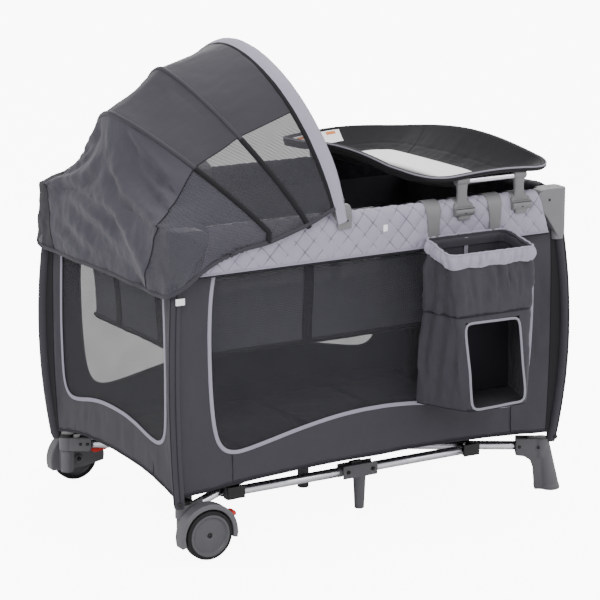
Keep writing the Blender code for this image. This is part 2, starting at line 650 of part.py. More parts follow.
def build_organizer_hooks():
    """Two hooks joined by a strip."""
    left, right = HOOKS_X
    hooks = add("organizer_hooks", side_profile(HOOK_OUTLINE, -1, left, HOOK_WIDTH), GREY,
                ORGANIZER_ORIGIN)
    join(hooks, side_profile(HOOK_OUTLINE, -1, right, HOOK_WIDTH))
    join(hooks, box_mesh((left - 0.022, -0.3465, 0.6635), (right + 0.012, -0.3380, 0.684)))


def build_organizer_bag():
    """Box with an open top, cut away at the front down to a thin back wall."""
    x0, y0, _ = BAG_LOW
    x1, y1, z1 = BAG_HIGH
    bag = add("organizer_bag", box_mesh(BAG_LOW, BAG_HIGH), CHARCOAL, ORGANIZER_ORIGIN)
    cut(bag, box_mesh((x0 + BAG_WALL, y0 + BAG_WALL, 0.545),
                      (x1 - BAG_WALL, y1 - BAG_WALL, z1 + 0.01)))
    cut(bag, box_mesh((x0 + 0.030, y0 - 0.01, 0.310), (x1 - 0.012, y1 - 0.006, 0.528)))


# ------------------------------------------------------------------ soft pieces
FABRIC_X, FABRIC_Y = 0.523, 0.3335
FABRIC_BOTTOM, FABRIC_TOP = 0.135, 0.620
BASSINET_X, BASSINET_Y = 0.455, 0.262
BASSINET_WALL = 0.005
MATTRESS_X, MATTRESS_Y = 0.465, 0.275


def build_side_fabric():
    outline = rounded(-FABRIC_X, -FABRIC_Y, FABRIC_X, FABRIC_Y, 0.020, 2, 1)
    bm = bmesh.new()
    low = [bm.verts.new((x, y, FABRIC_BOTTOM)) for x, y in outline]
    high = [bm.verts.new((x, y, FABRIC_TOP)) for x, y in outline]
    for i in range(len(low)):
        j = (i + 1) % len(low)
        bm.faces.new((low[i], low[j], high[j], high[i]))
    thicken(add("side_fabric", to_mesh(bm), CHARCOAL), "cloth", 0.002)


def build_bassinet():
    bassinet = add("bassinet", box_mesh((-BASSINET_X, -BASSINET_Y, 0.455),
                                        (BASSINET_X, BASSINET_Y, 0.700)), MESH_BLACK)
    x, y = BASSINET_X - BASSINET_WALL, BASSINET_Y - BASSINET_WALL
    cut(bassinet, box_mesh((-x, -y, 0.475), (x, y, 0.760)))


def build_mattress():
    add("mattress", box_mesh((-MATTRESS_X, -MATTRESS_Y, 0.1305),
                             (MATTRESS_X, MATTRESS_Y, 0.1540), bevel=0.004), PAD)


build_corners()
build_rails()
build_rail_locks()
build_floor_tubes()
build_floor_hub()
build_clamps_and_side_tubes()
build_middle_feet()
build_corner_feet()
build_wheels()
build_canopy_clips()
build_canopy_bows()
build_canopy_cover()
build_changer_frame()
build_changer_clamps()
build_changer_pad()
build_organizer_hooks()
build_organizer_bag()
build_side_fabric()
build_bassinet()
build_mattress()
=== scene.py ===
"""Looks of a folding travel play yard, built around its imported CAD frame.

Metres, +Z up, floor at z = 0. The long sides face -Y (front) and +Y (back). The casters and the
canopy are at the -X (left) end, the fixed feet and the changer at the +X (right) end. The
bassinet hangs inside and the organizer outside the front.
"""
import random
from math import copysign, cos, exp, hypot, pi, radians, sin, sqrt
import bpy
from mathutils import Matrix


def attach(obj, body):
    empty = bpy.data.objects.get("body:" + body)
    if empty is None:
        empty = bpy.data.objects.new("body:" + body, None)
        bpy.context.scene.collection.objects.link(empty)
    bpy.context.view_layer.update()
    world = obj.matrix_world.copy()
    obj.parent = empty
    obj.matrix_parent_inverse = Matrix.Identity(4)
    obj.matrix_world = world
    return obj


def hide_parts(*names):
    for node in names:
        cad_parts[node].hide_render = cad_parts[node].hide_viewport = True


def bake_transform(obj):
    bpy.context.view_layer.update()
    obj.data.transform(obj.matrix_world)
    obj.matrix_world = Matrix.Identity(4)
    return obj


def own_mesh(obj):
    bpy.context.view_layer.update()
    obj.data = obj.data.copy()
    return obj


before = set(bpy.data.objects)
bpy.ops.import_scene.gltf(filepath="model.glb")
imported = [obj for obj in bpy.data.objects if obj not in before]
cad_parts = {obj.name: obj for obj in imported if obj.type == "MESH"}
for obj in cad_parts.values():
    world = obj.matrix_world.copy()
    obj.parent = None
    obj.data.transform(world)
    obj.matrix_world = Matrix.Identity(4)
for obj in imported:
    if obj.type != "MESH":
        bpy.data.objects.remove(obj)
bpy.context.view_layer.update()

from types import SimpleNamespace

import bmesh
import bpy
import numpy as np
from mathutils import Matrix, Vector, noise

random.seed(7)
scene = bpy.context.scene

# ------------------------------------------------------------------ numbers and curves


def vec(x, y, z):
    return Vector((x, y, z))


def lerp(start, end, share):
    return start + (end - start) * share


def smooth01(t):
    t = max(0.0, min(1.0, t))
    return t * t * (3 - 2 * t)


def fbm(p, scale, seed=0.0):
    """Fractal noise of three octaves."""
    spot = vec(p[0] * scale + seed, p[1] * scale - seed, p[2] * scale + 2 * seed)
    return noise.fractal(spot, 0.6, 2.1, 3)


def ridge(x, width):
    """A soft bump about zero."""
    return exp(-(x / width) ** 2)


def signed_power(value, power):
    """Below 1 it squares off a circle's cosine or sine."""
    return copysign(abs(value) ** power, value)


def interp(table, x):
    """Smooth curve through (x, value) pairs."""
    if x <= table[0][0]:
        return table[0][1]
    for (a, low), (b, high) in zip(table, table[1:]):
        if x <= b:
            return lerp(low, high, smooth01((x - a) / (b - a)) * 0.35 + (x - a) / (b - a) * 0.65)
    return table[-1][1]


def lengths_along(points):
    """Running length of a polyline at each of its points."""
    run = [0.0]
    for a, b in zip(points, points[1:]):
        run.append(run[-1] + (b - a).length)
    return run


def even(points, count):
    """count + 1 evenly spaced points on a polyline."""
    run = lengths_along(points)
    out, j = [], 0
    for i in range(count + 1):
        goal = run[-1] * i / count
        while j < len(points) - 2 and run[j + 1] < goal:
            j += 1
        share = (goal - run[j]) / max(run[j + 1] - run[j], 1e-9)
        out.append(points[j].lerp(points[j + 1], min(max(share, 0), 1)))
    return out


def spline(points, count):
    """count evenly spaced points on a smooth open curve through 2D or 3D points."""
    knots = [Vector(p if len(p) == 3 else (p[0], p[1], 0)) for p in points]
    dense = []
    last = len(knots) - 1
    for i in range(last):
        p0 = knots[i - 1] if i > 0 else knots[0] * 2 - knots[1]
        p1, p2 = knots[i], knots[i + 1]
        p3 = knots[i + 2] if i < last - 1 else knots[-1] * 2 - knots[-2]
        for k in range(12):
            t = k / 12
            dense.append(0.5 * (2 * p1 + (p2 - p0) * t + (2 * p0 - 5 * p1 + 4 * p2 - p3) * t * t
                                + (3 * p1 - p0 - 3 * p2 + p3) * t ** 3))
    dense.append(knots[-1])
    return even(dense, count - 1)


def nearest(points, x, y):
    """Index of the point closest to x, y."""
    return min(range(len(points)), key=lambda i: (points[i].x - x) ** 2 + (points[i].y - y) ** 2)


def rounded_loop(x0, y0, x1, y1, radius, count, steps=16, from_front=False):
    """Closed rounded rectangle; it starts at the +X side, or at the middle of the -Y side."""
    corners = [(x1 - radius, y1 - radius, 0), (x0 + radius, y1 - radius, 90),
               (x0 + radius, y0 + radius, 180), (x1 - radius, y0 + radius, 270)]
    points = []
    if from_front:
        corners = [(x1 - radius, y0 + radius, -90)] + corners[:3]
        points.append(vec((x0 + x1) / 2, y0, 0))
    for cx, cy, first in corners:
        for k in range(steps + 1):
            angle = radians(first + 90 * k / steps)
            points.append(vec(cx + radius * cos(angle), cy + radius * sin(angle), 0))
    points.append(points[0].copy())
    return even(points, count)[:count]


# ------------------------------------------------------------------ shells and solids


def grid(nu, nv, point, closed_u=False, closed_v=False, flip=False):
    """Vertices and faces of a grid; point(i, j) gives each vertex."""
    verts = [point(i, j) for i in range(nu) for j in range(nv)]
    faces = []
    for i in range(nu if closed_u else nu - 1):
        for j in range(nv if closed_v else nv - 1):
            a, b = i * nv + j, ((i + 1) % nu) * nv + j
            c, d = ((i + 1) % nu) * nv + (j + 1) % nv, i * nv + (j + 1) % nv
            faces.append((a, d, c, b) if flip else (a, b, c, d))
    return verts, faces


def thicken(verts, faces, thickness):
    """A closed sheet centred on an open one."""
    mesh = bpy.data.meshes.new("t")
    mesh.from_pydata([tuple(v) for v in verts], [], faces)
    bm = bmesh.new()
    bm.from_mesh(mesh)
    bm.normal_update()
    normals = [v.normal.copy() for v in bm.verts]
    bm.free()
    bpy.data.meshes.remove(mesh)
    total = len(verts)
    over = [Vector(p) + n * thickness * 0.5 for p, n in zip(verts, normals)]
    under = [Vector(p) - n * thickness * 0.5 for p, n in zip(verts, normals)]
    out = list(faces) + [tuple(i + total for i in reversed(f)) for f in faces]
    edges = dict.fromkeys(pair for f in faces for pair in zip(f, f[1:] + f[:1]))
    out += [(b, a, a + total, b + total) for a, b in edges if (b, a) not in edges]
    return over + under, out


def tube_faces(rows, count, closed=False):
    """Faces between rings of count vertices, capped unless closed."""
    faces = []
    for i in range(rows if closed else rows - 1):
        near, far = i * count, ((i + 1) % rows) * count
        for j in range(count):
            k = (j + 1) % count
            faces.append((near + j, near + k, far + k, far + j))
    if not closed:
        faces.append(tuple(reversed(range(count))))
        faces.append(tuple((rows - 1) * count + j for j in range(count)))
    return faces


def path_frames(points, closed=False, hint=None):
    """Tangents and side vectors along a path, without twist."""
    count = len(points)
    tangents = []
    for i in range(count):
        a = points[(i - 1) % count] if (closed or i > 0) else points[0]
        b = points[(i + 1) % count] if (closed or i < count - 1) else points[-1]
        step = b - a
        tangents.append(step.normalized() if step.length > 1e-9 else vec(0, 0, 1))
    first = tangents[0]
    if hint is None:
        hint = (0, 0, 1) if abs(first.z) < 0.9 else (1, 0, 0)
    side = Vector(hint)
    side = (side - first * side.dot(first)).normalized()
    sides = []
    for tangent in tangents:
        flat = side - tangent * side.dot(tangent)
        if flat.length < 1e-6:
            flat = tangent.orthogonal()
        side = flat.normalized()
        sides.append(side)
    return tangents, sides


class Parts:
    """Collects shells, each with the key of its material, into one piece."""

    def __init__(self):
        self.verts, self.faces, self.index, self.mats = [], [], [], []

    def add(self, shell, mat):
        verts, faces = shell
        if mat not in self.mats:
            self.mats.append(mat)
        first = len(self.verts)
        self.verts += [Vector(p) for p in verts]
        self.faces += [tuple(i + first for i in f) for f in faces]
        self.index += [self.mats.index(mat)] * len(faces)
        return self

    def sheet(self, nu, nv, point, mat, thickness=0.0016, flip=False, closed_u=False):
        """Grid with a thickness; 0 leaves it a single layer."""
        shell = grid(nu, nv, point, closed_u, flip=flip)
        return self.add(thicken(*shell, thickness) if thickness else shell, mat)

    def tube(self, points, mat, half_side, half_cross=None, count=8, closed=False, hint=None,
             square=1.0, path=None):
        """Tube along a path: half sizes along and across the side vector; square < 1 squares it."""
        points = [Vector(p) for p in points]
        half_cross = half_side if half_cross is None else half_cross
        verts = []
        for p, tangent, side in zip(points, *(path or path_frames(points, closed, hint))):
            cross = tangent.cross(side)
            for j in range(count):
                angle = 2 * pi * j / count
                verts.append(p + side * signed_power(cos(angle), square) * half_side
                             + cross * signed_power(sin(angle), square) * half_cross)
        return self.add((verts, tube_faces(len(points), count, closed)), mat)

    def lathe(self, profile, mat, axis=(0, 0, 1), origin=(0, 0, 0), count=48):
        """Closed profile [(radius, along)] turned about an axis."""
        axis = Vector(axis).normalized()
        side = axis.orthogonal().normalized()
        cross = axis.cross(side)
        origin = Vector(origin)

        def point(i, j):
            angle = 2 * pi * i / count
            radius, along = profile[j]
            return origin + axis * along + (side * cos(angle) + cross * sin(angle)) * radius

        return self.add(grid(count, len(profile), point, True, True), mat)

    def screw(self, axis, origin, crown, inner, radius, depth):
        """Domed black screw head, sunk by depth."""
        return self.lathe([(0, crown), (inner, crown - 0.0002), (radius, 0.0), (radius, -depth),
                           (0, -depth)], "blackp", axis, origin, count=20)

    def make(self, name, sharp=40, merge=1e-6):
        mesh = bpy.data.meshes.new(name)
        mesh.from_pydata([tuple(v) for v in self.verts], [], self.faces)
        for key in self.mats:
            mesh.materials.append(MATERIALS[key])
        mesh.polygons.foreach_set("material_index", self.index)
        if merge:
            bm = bmesh.new()
            bm.from_mesh(mesh)
            bmesh.ops.remove_doubles(bm, verts=bm.verts, dist=merge)
            bmesh.ops.dissolve_degenerate(bm, edges=bm.edges, dist=1e-7)
            bm.to_mesh(mesh)
            bm.free()
        mesh.shade_smooth()
        if sharp:
            mesh.set_sharp_from_angle(angle=radians(sharp))
        mesh.update()
        return new_object(name, mesh)


def new_object(name, data):
    ob = bpy.data.objects.new(name, data)
    scene.collection.objects.link(ob)
    return ob


def register(ob, body, node=None):
    """Hangs the piece on the empty of its body and hides the CAD node it stands for."""
    if node:
        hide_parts(node)
    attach(ob, body)
    return ob


def from_bm(bm):
    bm.verts.index_update()
    verts = [v.co.copy() for v in bm.verts]
    faces = [tuple(v.index for v in f.verts) for f in bm.faces]
    bm.free()
    return verts, faces


def cylinder(a, b, radius, count=24, end_radius=None):
    a, b = Vector(a), Vector(b)
    bm = bmesh.new()
    bmesh.ops.create_cone(bm, cap_ends=True, segments=count, radius1=radius,
                          radius2=radius if end_radius is None else end_radius,
                          depth=(b - a).length)
    turn = (b - a).to_track_quat("Z", "Y").to_matrix().to_4x4()
    bmesh.ops.transform(bm, matrix=Matrix.Translation((a + b) / 2) @ turn, verts=bm.verts)
    return from_bm(bm)


def box(a, b):
    """Box between two opposite corners, given in any order."""
    a, b = Vector(a), Vector(b)
    bm = bmesh.new()
    bmesh.ops.create_cube(bm, size=1)
    for v in bm.verts:
        v.co = Vector([lerp(min(a[k], b[k]), max(a[k], b[k]), v.co[k] + 0.5) for k in range(3)])
    return from_bm(bm)


def xz_plane(sign_y, sign_x=1, origin=(0, 0)):
    """Placement of an outline drawn in x-z and extruded along y."""
    return Matrix(((sign_x, 0, 0, origin[0]), (0, 0, sign_y, 0), (0, 1, 0, origin[1]),
                   (0, 0, 0, 1)))


def yz_plane(sign_y, sign_x=1):
    """Placement of an outline drawn in y-z and extruded along x."""
    return Matrix(((0, 0, sign_x, 0), (sign_y, 0, 0, 0), (0, 1, 0, 0), (0, 0, 0, 1)))


def prism(outline, low, high, place):
    """Outline in the local x-y plane, extruded from z = low to high."""
    count = len(outline)
    if sum(a[0] * b[1] - b[0] * a[1] for a, b in zip(outline, outline[1:] + outline[:1])) < 0:
        outline = outline[::-1]
    verts = [place @ vec(x, y, z) for z in (low, high) for x, y in outline]
    faces = [tuple(reversed(range(count))), tuple(range(count, 2 * count))]
    faces += [(i, (i + 1) % count, (i + 1) % count + count, i + count) for i in range(count)]
    if place.to_3x3().determinant() < 0:
        faces = [tuple(reversed(f)) for f in faces]
    return verts, faces


def cad_solid(node):
    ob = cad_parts[node]
    return ([ob.matrix_world @ v.co for v in ob.data.vertices],
            [tuple(p.vertices) for p in ob.data.polygons])


def evaluated_mesh(ob):
    graph = bpy.context.evaluated_depsgraph_get()
    return bpy.data.meshes.new_from_object(ob.evaluated_get(graph))


def dress(mesh, mat):
    mesh.materials.clear()
    mesh.materials.append(MATERIALS[mat])


def moulded(name, solids, mat, voxel=0.0015, rounds=3):
    """Overlapping solids fused into one smooth body with soft edges."""
    parts = Parts()
    for solid in solids:
        parts.add(solid, mat)
    ob = parts.make(name + "_tmp", merge=0)
    remesh = ob.modifiers.new("r", "REMESH")
    remesh.mode = "VOXEL"
    remesh.voxel_size = voxel
    remesh.adaptivity = 0.0
    soften = ob.modifiers.new("s", "SMOOTH")
    soften.iterations, soften.factor = rounds, 0.5
    mesh = evaluated_mesh(ob)
    bpy.data.objects.remove(ob)
    dress(mesh, mat)
    mesh.shade_smooth()
    mesh.name = name
    return new_object(name, mesh)


def inflated(name, solid, mat, voxel, pressure, cap, frames):
    """Remeshed solid blown up as cloth; each vertex moves by at most cap."""
    ob = Parts().add(solid, mat).make(name, sharp=None, merge=0)
    remesh = ob.modifiers.new("r", "REMESH")
    remesh.mode, remesh.voxel_size = "VOXEL", voxel
    mesh = evaluated_mesh(ob)
    ob.modifiers.clear()
    ob.data = mesh
    dress(mesh, mat)
    start = np.array([v.co for v in mesh.vertices], float)
    cloth = ob.modifiers.new("c", "CLOTH")
    settings = cloth.settings
    settings.quality = 4
    settings.mass = 0.3
    settings.tension_stiffness = settings.compression_stiffness = 12
    settings.bending_stiffness = 1.5
    settings.use_pressure = True
    settings.uniform_pressure_force = pressure
    settings.effector_weights.gravity = 0
    cloth.collision_settings.use_collision = False
    for number in range(1, frames + 1):
        scene.frame_set(number)
    done = evaluated_mesh(ob)
    ob.modifiers.clear()
    move = np.array([v.co for v in done.vertices], float) - start
    length = np.linalg.norm(move, axis=1, keepdims=True)
    move *= np.minimum(1.0, cap / np.maximum(length, 1e-9))
    done.vertices.foreach_set("co", (start + move).astype(np.float32).ravel())
    done.update()
    ob.data = done
    scene.frame_set(1)
    dress(ob.data, mat)
    ob.data.shade_smooth()
    return ob


# ------------------------------------------------------------------ shader tools


def rgb(*levels):
    """sRGB 0..255 to linear, with alpha 1."""
    levels = [c / 255 for c in levels]
    return tuple(c / 12.92 if c <= 0.04045 else ((c + 0.055) / 1.055) ** 2.4
                 for c in levels) + (1.0,)


def brighter(color, factor):
    return tuple(min(1, c * factor) for c in color[:3]) + (1,)


class Shader:
    def __init__(self, name):
        self.mat = bpy.data.materials.new(name)
        self.mat.use_nodes = True
        self.tree = self.mat.node_tree
        self.tree.nodes.clear()
        out = self.node("OutputMaterial")
        self.bsdf = self.node("BsdfPrincipled")
        self.put(out.inputs[0], self.bsdf.outputs[0])
        self.coord = self.node("TexCoord").outputs["Object"]

    def node(self, kind, **settings):
        node = self.tree.nodes.new("ShaderNode" + kind)
        for key, value in settings.items():
            setattr(node, key, value)
        return node

    def put(self, socket, value):
        """Links a socket or sets its value."""
        if isinstance(value, bpy.types.NodeSocket):
            self.tree.links.new(value, socket)
        else:
            socket.default_value = value

    def math(self, operation, a, b=0.0, c=0.0, clamp=False):
        node = self.node("Math", operation=operation, use_clamp=clamp)
        for socket, value in zip(node.inputs, (a, b, c)):
            self.put(socket, value)
        return node.outputs[0]

    def noise(self, scale, detail, rough, distortion=0.0):
        node = self.node("TexNoise")
        self.put(node.inputs["Vector"], self.coord)
        node.inputs["Scale"].default_value = scale
        node.inputs["Detail"].default_value = detail
        node.inputs["Roughness"].default_value = rough
        node.inputs["Distortion"].default_value = distortion
        return node.outputs["Fac"]

    def ramp(self, factor, *stops):
        """Two (position, grey or colour) stops."""
        node = self.node("ValToRGB")
        self.put(node.inputs[0], factor)
        for element, (position, color) in zip(node.color_ramp.elements, stops):
            element.position = position
            element.color = color if hasattr(color, "__len__") else (color, color, color, 1)
        return node.outputs[0]

    def mix(self, factor, a, b, kind="MIX"):
        node = self.node("Mix", data_type="RGBA", blend_type=kind)
        self.put(node.inputs[0], factor)
        self.put(node.inputs[6], a)
        self.put(node.inputs[7], b)
        return node.outputs[2]

    def bump(self, height, strength, distance, normal=None):
        node = self.node("Bump")
        node.inputs["Strength"].default_value = strength
        node.inputs["Distance"].default_value = distance
        self.put(node.inputs["Height"], height)
        if normal is not None:
            self.put(node.inputs["Normal"], normal)
        self.put(self.bsdf.inputs["Normal"], node.outputs[0])
        return node.outputs[0]

    def mottled(self, factor, low, high):
        """Tone between two (position, colour) stops about the middle."""
        return self.ramp(factor, low, high)

    def set(self, **values):
        for key, value in values.items():
            self.put(self.bsdf.inputs[key.replace("_", " ")], value)

    def threads(self, wave, pitch, slant, rise=1.0):
        """Waves of the threads running up and across, on any wall or top."""
        split = self.node("SeparateXYZ")
        self.put(split.inputs[0], self.coord)
        x, y, z = split.outputs[:3]
        turns = 2 * pi / pitch
        upright = self.math(wave, self.math("MULTIPLY", self.math("ADD", x, y), turns))
        tilt = self.math("MULTIPLY", self.math("SUBTRACT", x, y), slant)
        level = self.math("MULTIPLY", self.math("ADD", z, tilt), turns * rise)
        return upright, self.math(wave, level)


# ------------------------------------------------------------------ materials


def fabric(name, color, pitch, rough, sheen, bump, mottle, wrinkle, spec):
    """Plain weave, mottled and optionally wrinkled."""
    s = Shader(name)
    woven = s.math("MULTIPLY", *s.threads("SINE", pitch, slant=0.35))
    patches = s.noise(scale=9, detail=4, rough=0.6)
    fine = s.noise(scale=900, detail=2, rough=0.7)
    tone = s.ramp(patches, (0.25, brighter(color, 1 - mottle)), (0.75, brighter(color, 1 + mottle)))
    # threads darken the tone slightly
    shade = s.math("MULTIPLY_ADD", woven, 0.10, s.math("MULTIPLY_ADD", fine, 0.16, 0.92))
    tone = s.mix(1.0, tone, s.ramp(shade, (0.0, 0.0), (1.0, 1.0)), "MULTIPLY")
    s.set(Base_Color=tone, Roughness=rough, Sheen_Weight=sheen, Sheen_Roughness=0.5,
          Specular_IOR_Level=spec)
    height = s.math("ADD", woven, s.math("MULTIPLY", fine, 0.6))
    normal = s.bump(height, strength=bump * 0.45, distance=0.0003)
    if wrinkle:
        crease = s.noise(scale=28, detail=5, rough=0.62, distortion=0.6)
        s.bump(crease, strength=wrinkle, distance=0.006, normal=normal)
    return s.mat


def net(name, color, pitch, solid, soft):
    """See-through netting: mean cover solid, varied by soft between threads and holes."""
    s = Shader(name)
    waves = s.threads("COSINE", pitch, slant=0.3, rise=0.9)
    mesh = s.math("MULTIPLY", s.math("ADD", *waves), 0.25)      # -0.5 .. 0.5
    patches = s.math("MULTIPLY_ADD", s.noise(scale=14, detail=2, rough=0.5), 0.12, -0.06)
    cover = s.math("MULTIPLY_ADD", mesh, soft * 2, patches)
    s.set(Base_Color=color, Roughness=0.8, Alpha=s.math("ADD", solid, cover, clamp=True),
          Specular_IOR_Level=0.2, Sheen_Weight=0.1)
    s.bump(mesh, strength=0.25, distance=0.0004)
    return s.mat


def plastic(name, color, rough, grain, wear=0.12, scale=1400, spec=0.45):
    """Grained plastic, paler on worn edges."""
    s = Shader(name)
    pointed = s.node("NewGeometry").outputs["Pointiness"]
    edge = s.ramp(pointed, (0.52, 0.0), (0.60, 1.0))
    patches = s.noise(scale=30, detail=3, rough=0.6)
    tone = s.ramp(patches, (0.3, brighter(color, 0.94)), (0.7, brighter(color, 1.05)))
    tone = s.mix(s.math("MULTIPLY", edge, wear), tone, brighter(color, 2.0))
    smear = s.noise(scale=60, detail=3, rough=0.6)
    s.set(Base_Color=tone, Roughness=s.math("MULTIPLY_ADD", smear, 0.14, rough - 0.07),
          Specular_IOR_Level=spec)
    s.bump(s.noise(scale=scale, detail=2, rough=0.5), strength=grain, distance=0.0002)
    return s.mat


def metal(name, color, rough, metallic=1.0, brushed=0.15):
    s = Shader(name)
    patches = s.noise(scale=50, detail=4, rough=0.6)
    fine = s.noise(scale=700, detail=2, rough=0.5)
    tone = s.ramp(patches, (0.3, brighter(color, 0.92)), (0.7, brighter(color, 1.06)))
    s.set(Base_Color=tone, Metallic=metallic,
          Roughness=s.math("MULTIPLY_ADD", fine, 0.14, rough - 0.05))
    s.bump(fine, strength=brushed, distance=0.0001)
    return s.mat


# key: name, sRGB colour, thread pitch, roughness, sheen, bump, mottle, wrinkle, specular
FABRICS = dict(
    charcoal=("charcoal_fabric", (55, 54, 61), 0.0012, 0.74, 0.06, 0.30, 0.07, 0.12, 0.32),
    charcoal_dark=("charcoal_lining", (36, 36, 42), 0.0012, 0.85, 0.04, 0.3, 0.08, 0, 0.2),
    slate=("canopy_slate_fabric", (61, 59, 69), 0.0011, 0.62, 0.08, 0.12, 0.04, 0.02, 0.32),
    # slate_dark is a darker copy of the slate cloth: painted shade on the canopy crown and the bow
    # sleeves
    slate_dark=("canopy_crown_fabric", (47, 46, 54), 0.0011, 0.62, 0.08, 0.12, 0.04, 0.02, 0.35),
    lavender=("quilted_lavender_fabric", (158, 153, 169), 0.0012, 0.85, 0.10, 0.35, 0.05, 0, 0.2),
    thread=("quilting_thread", (118, 114, 128), 0.0010, 0.8, 0.0, 0.2, 0.03, 0, 0.25),
    binding=("pale_binding_tape", (150, 146, 162), 0.0010, 0.8, 0.05, 0.5, 0.05, 0, 0.25),
    black=("black_fabric", (22, 22, 26), 0.0011, 0.75, 0.04, 0.35, 0.08, 0.12, 0.28),
    # lining is the bassinet's black cloth made paler to stand in for the fill light inside it:
    # painted light
    lining=("bassinet_black_fabric", (58, 58, 63), 0.0011, 0.8, 0.05, 0.35, 0.08, 0.12, 0.25),
    strap=("black_webbing", (24, 24, 28), 0.0016, 0.75, 0.04, 0.8, 0.08, 0, 0.25),
    white_pad=("white_wipe_clean_pad", (252, 252, 255), 0.0016, 0.6, 0.05, 0.2, 0.01, 0, 0.4),
    piping=("grey_piping", (136, 134, 146), 0.0010, 0.65, 0.05, 0.4, 0.05, 0, 0.25),
    white=("white_tab", (252, 252, 254), 0.0012, 0.7, 0.0, 0.2, 0.02, 0, 0.25),
    orange=("orange_stripe", (222, 132, 74), 0.0012, 0.7, 0.0, 0.2, 0.02, 0, 0.25),
)
# key: name, sRGB colour, hole pitch, mean cover, variation
NETS = dict(
    net=("window_net", (50, 50, 55), 0.0054, 0.58, 0.07),
    net_light=("canopy_net", (60, 60, 65), 0.0056, 0.74, 0.07),
    net_skirt=("canopy_skirt_net", (70, 69, 77), 0.0056, 0.80, 0.06),
    # net_far is a darker, denser copy of the skirt netting for the far side: painted shade
    net_far=("canopy_far_net", (46, 46, 51), 0.0056, 0.95, 0.04),
    net_dense=("bassinet_net", (108, 108, 116), 0.0052, 0.84, 0.05),
)
# key: name, sRGB colour, roughness, grain, then wear, grain scale and specular where they differ
PLASTICS = dict(
    cap=("corner_cap_plastic", (112, 111, 115), 0.42, 0.15),
    grey=("foot_plastic", (84, 84, 88), 0.46, 0.2),
    caster=("caster_plastic", (90, 90, 94), 0.44, 0.2),
    hook=("accessory_plastic", (112, 112, 114), 0.42, 0.15),
    dark_grey=("dark_grey_plastic", (60, 60, 63), 0.5, 0.25),
    blackp=("black_plastic", (18, 18, 20), 0.42, 0.25),
    red=("red_pedal_plastic", (206, 38, 28), 0.32, 0.12, 0.05),
    rubber=("tyre_rubber", (24, 24, 26), 0.72, 0.6, 0.04, 900, 0.3),
    disc=("wheel_disc_plastic", (76, 76, 80), 0.44, 0.2),
)
# key: name, sRGB colour, roughness, then metallic and brushing where they differ
METALS = dict(
    silver=("silver_tube", (226, 226, 234), 0.24),
    chrome=("bright_screw", (210, 210, 212), 0.18),
    paint=("painted_tube", (60, 60, 64), 0.42, 0.35, 0.2),
)
MATERIALS = {key: maker(name, rgb(*color), *rest)
             for maker, table in ((fabric, FABRICS), (net, NETS), (plastic, PLASTICS),
                                  (metal, METALS))
             for key, (name, color, *rest) in table.items()}

# ------------------------------------------------------------------ shared sizes
DIAG_X, DIAG_Y = 0.85136, 0.52458       # direction of the floor tubes, hub to corner
POST_X, POST_Y, RAIL_Z, FLOOR_Z = 0.495, 0.305, 0.725, 0.108
PANEL_TOP = 0.668
FACES = (("front", -1), ("back", 1))


class Corner:
    """A corner of the yard: mirrors points given for +X +Y and knows its diagonal."""

    def __init__(self, face, end):
        self.face, self.tag, self.end_tag = face, face + "_" + end, end + "_" + face
        self.left = end == "left"
        self.sign_x = -1 if self.left else 1
        self.sign_y = 1 if face == "back" else -1
        self.same = self.sign_x * self.sign_y > 0
        self.out = self.at(DIAG_X, DIAG_Y, 0)
        self.across = vec(-self.sign_y * DIAG_Y, self.sign_x * DIAG_X, 0)
        self.post = self.at(POST_X, POST_Y, 0)

    def at(self, x, y, z):
        return vec(self.sign_x * x, self.sign_y * y, z)

    def wall_xyz(self, wall, along, out, z):
        """Place on a wall: along from its middle, out from the centre of the yard."""
        x, y = (along, out) if wall.long else (out, along)
        return self.sign_x * x, self.sign_y * y, z

    def wall_at(self, wall, along, out, z):
        return Vector(self.wall_xyz(wall, along, out, z))

    def normal(self, wall):
        return self.wall_at(wall, 0, 1, 0)

    def wall_tag(self, wall):
        return self.tag if wall.long else self.end_tag


CORNERS = [Corner(face, end) for face in ("front", "back") for end in ("left", "right")]

# The two kinds of wall. window: (along, z) from the top of the side round to the bottom middle;
# hem: (along, z) of the lower edge; profile: (out, z) over the rail from inside to outside.
LONG_WALL = SimpleNamespace(
    long=True,
    window=[(0.421, 0.668), (0.426, 0.650), (0.434, 0.600), (0.438, 0.540), (0.439, 0.480),
            (0.437, 0.400), (0.433, 0.340), (0.427, 0.295), (0.417, 0.262), (0.400, 0.242),
            (0.375, 0.2345), (0.344, 0.2365), (0.292, 0.246), (0.203, 0.264), (0.112, 0.278),
            (0.040, 0.2835), (0.0, 0.284)],
    window_corner=(0.417, 0.262),
    hem=[(0.0, 0.1705), (0.10, 0.172), (0.20, 0.170), (0.30, 0.166), (0.40, 0.160),
         (0.478, 0.152), (0.54, 0.141)],
    profile=[(0.2995, 0.688), (0.3000, 0.705), (0.3010, 0.722), (0.3035, 0.737),
             (0.3095, 0.7475), (0.3190, 0.7525), (0.3290, 0.7525), (0.3380, 0.7480),
             (0.3435, 0.7390), (0.3460, 0.7250), (0.3470, 0.7050), (0.3470, 0.6800),
             (0.3465, 0.6530)],
    edge=0.4930,                        # where the cloth meets the corner strip
    bend=0.435, plane=0.3305, flare=0.0028,
    waves=((3.0, 3.0), (5.0, 8.0)),     # noise place and seed, coarse then fine
    floor_edge=(0.492, 0.2772),         # reach along and out of the mattress edge
    seam=0.383, hem_ends=(0.513, 0.510),
    fold_axis=(1, 0, 0), fold_anchor=0.5185, fold_keep=0.387,
    rail="rail_", rail_out=0.323, rail_span=(POST_X - 0.045, 0.110 * DIAG_X - 0.045),
    cover="quilted_rail_cover_", cover_rows=190, cover_end=(0.4400, 0.031), cover_out=0.3470)
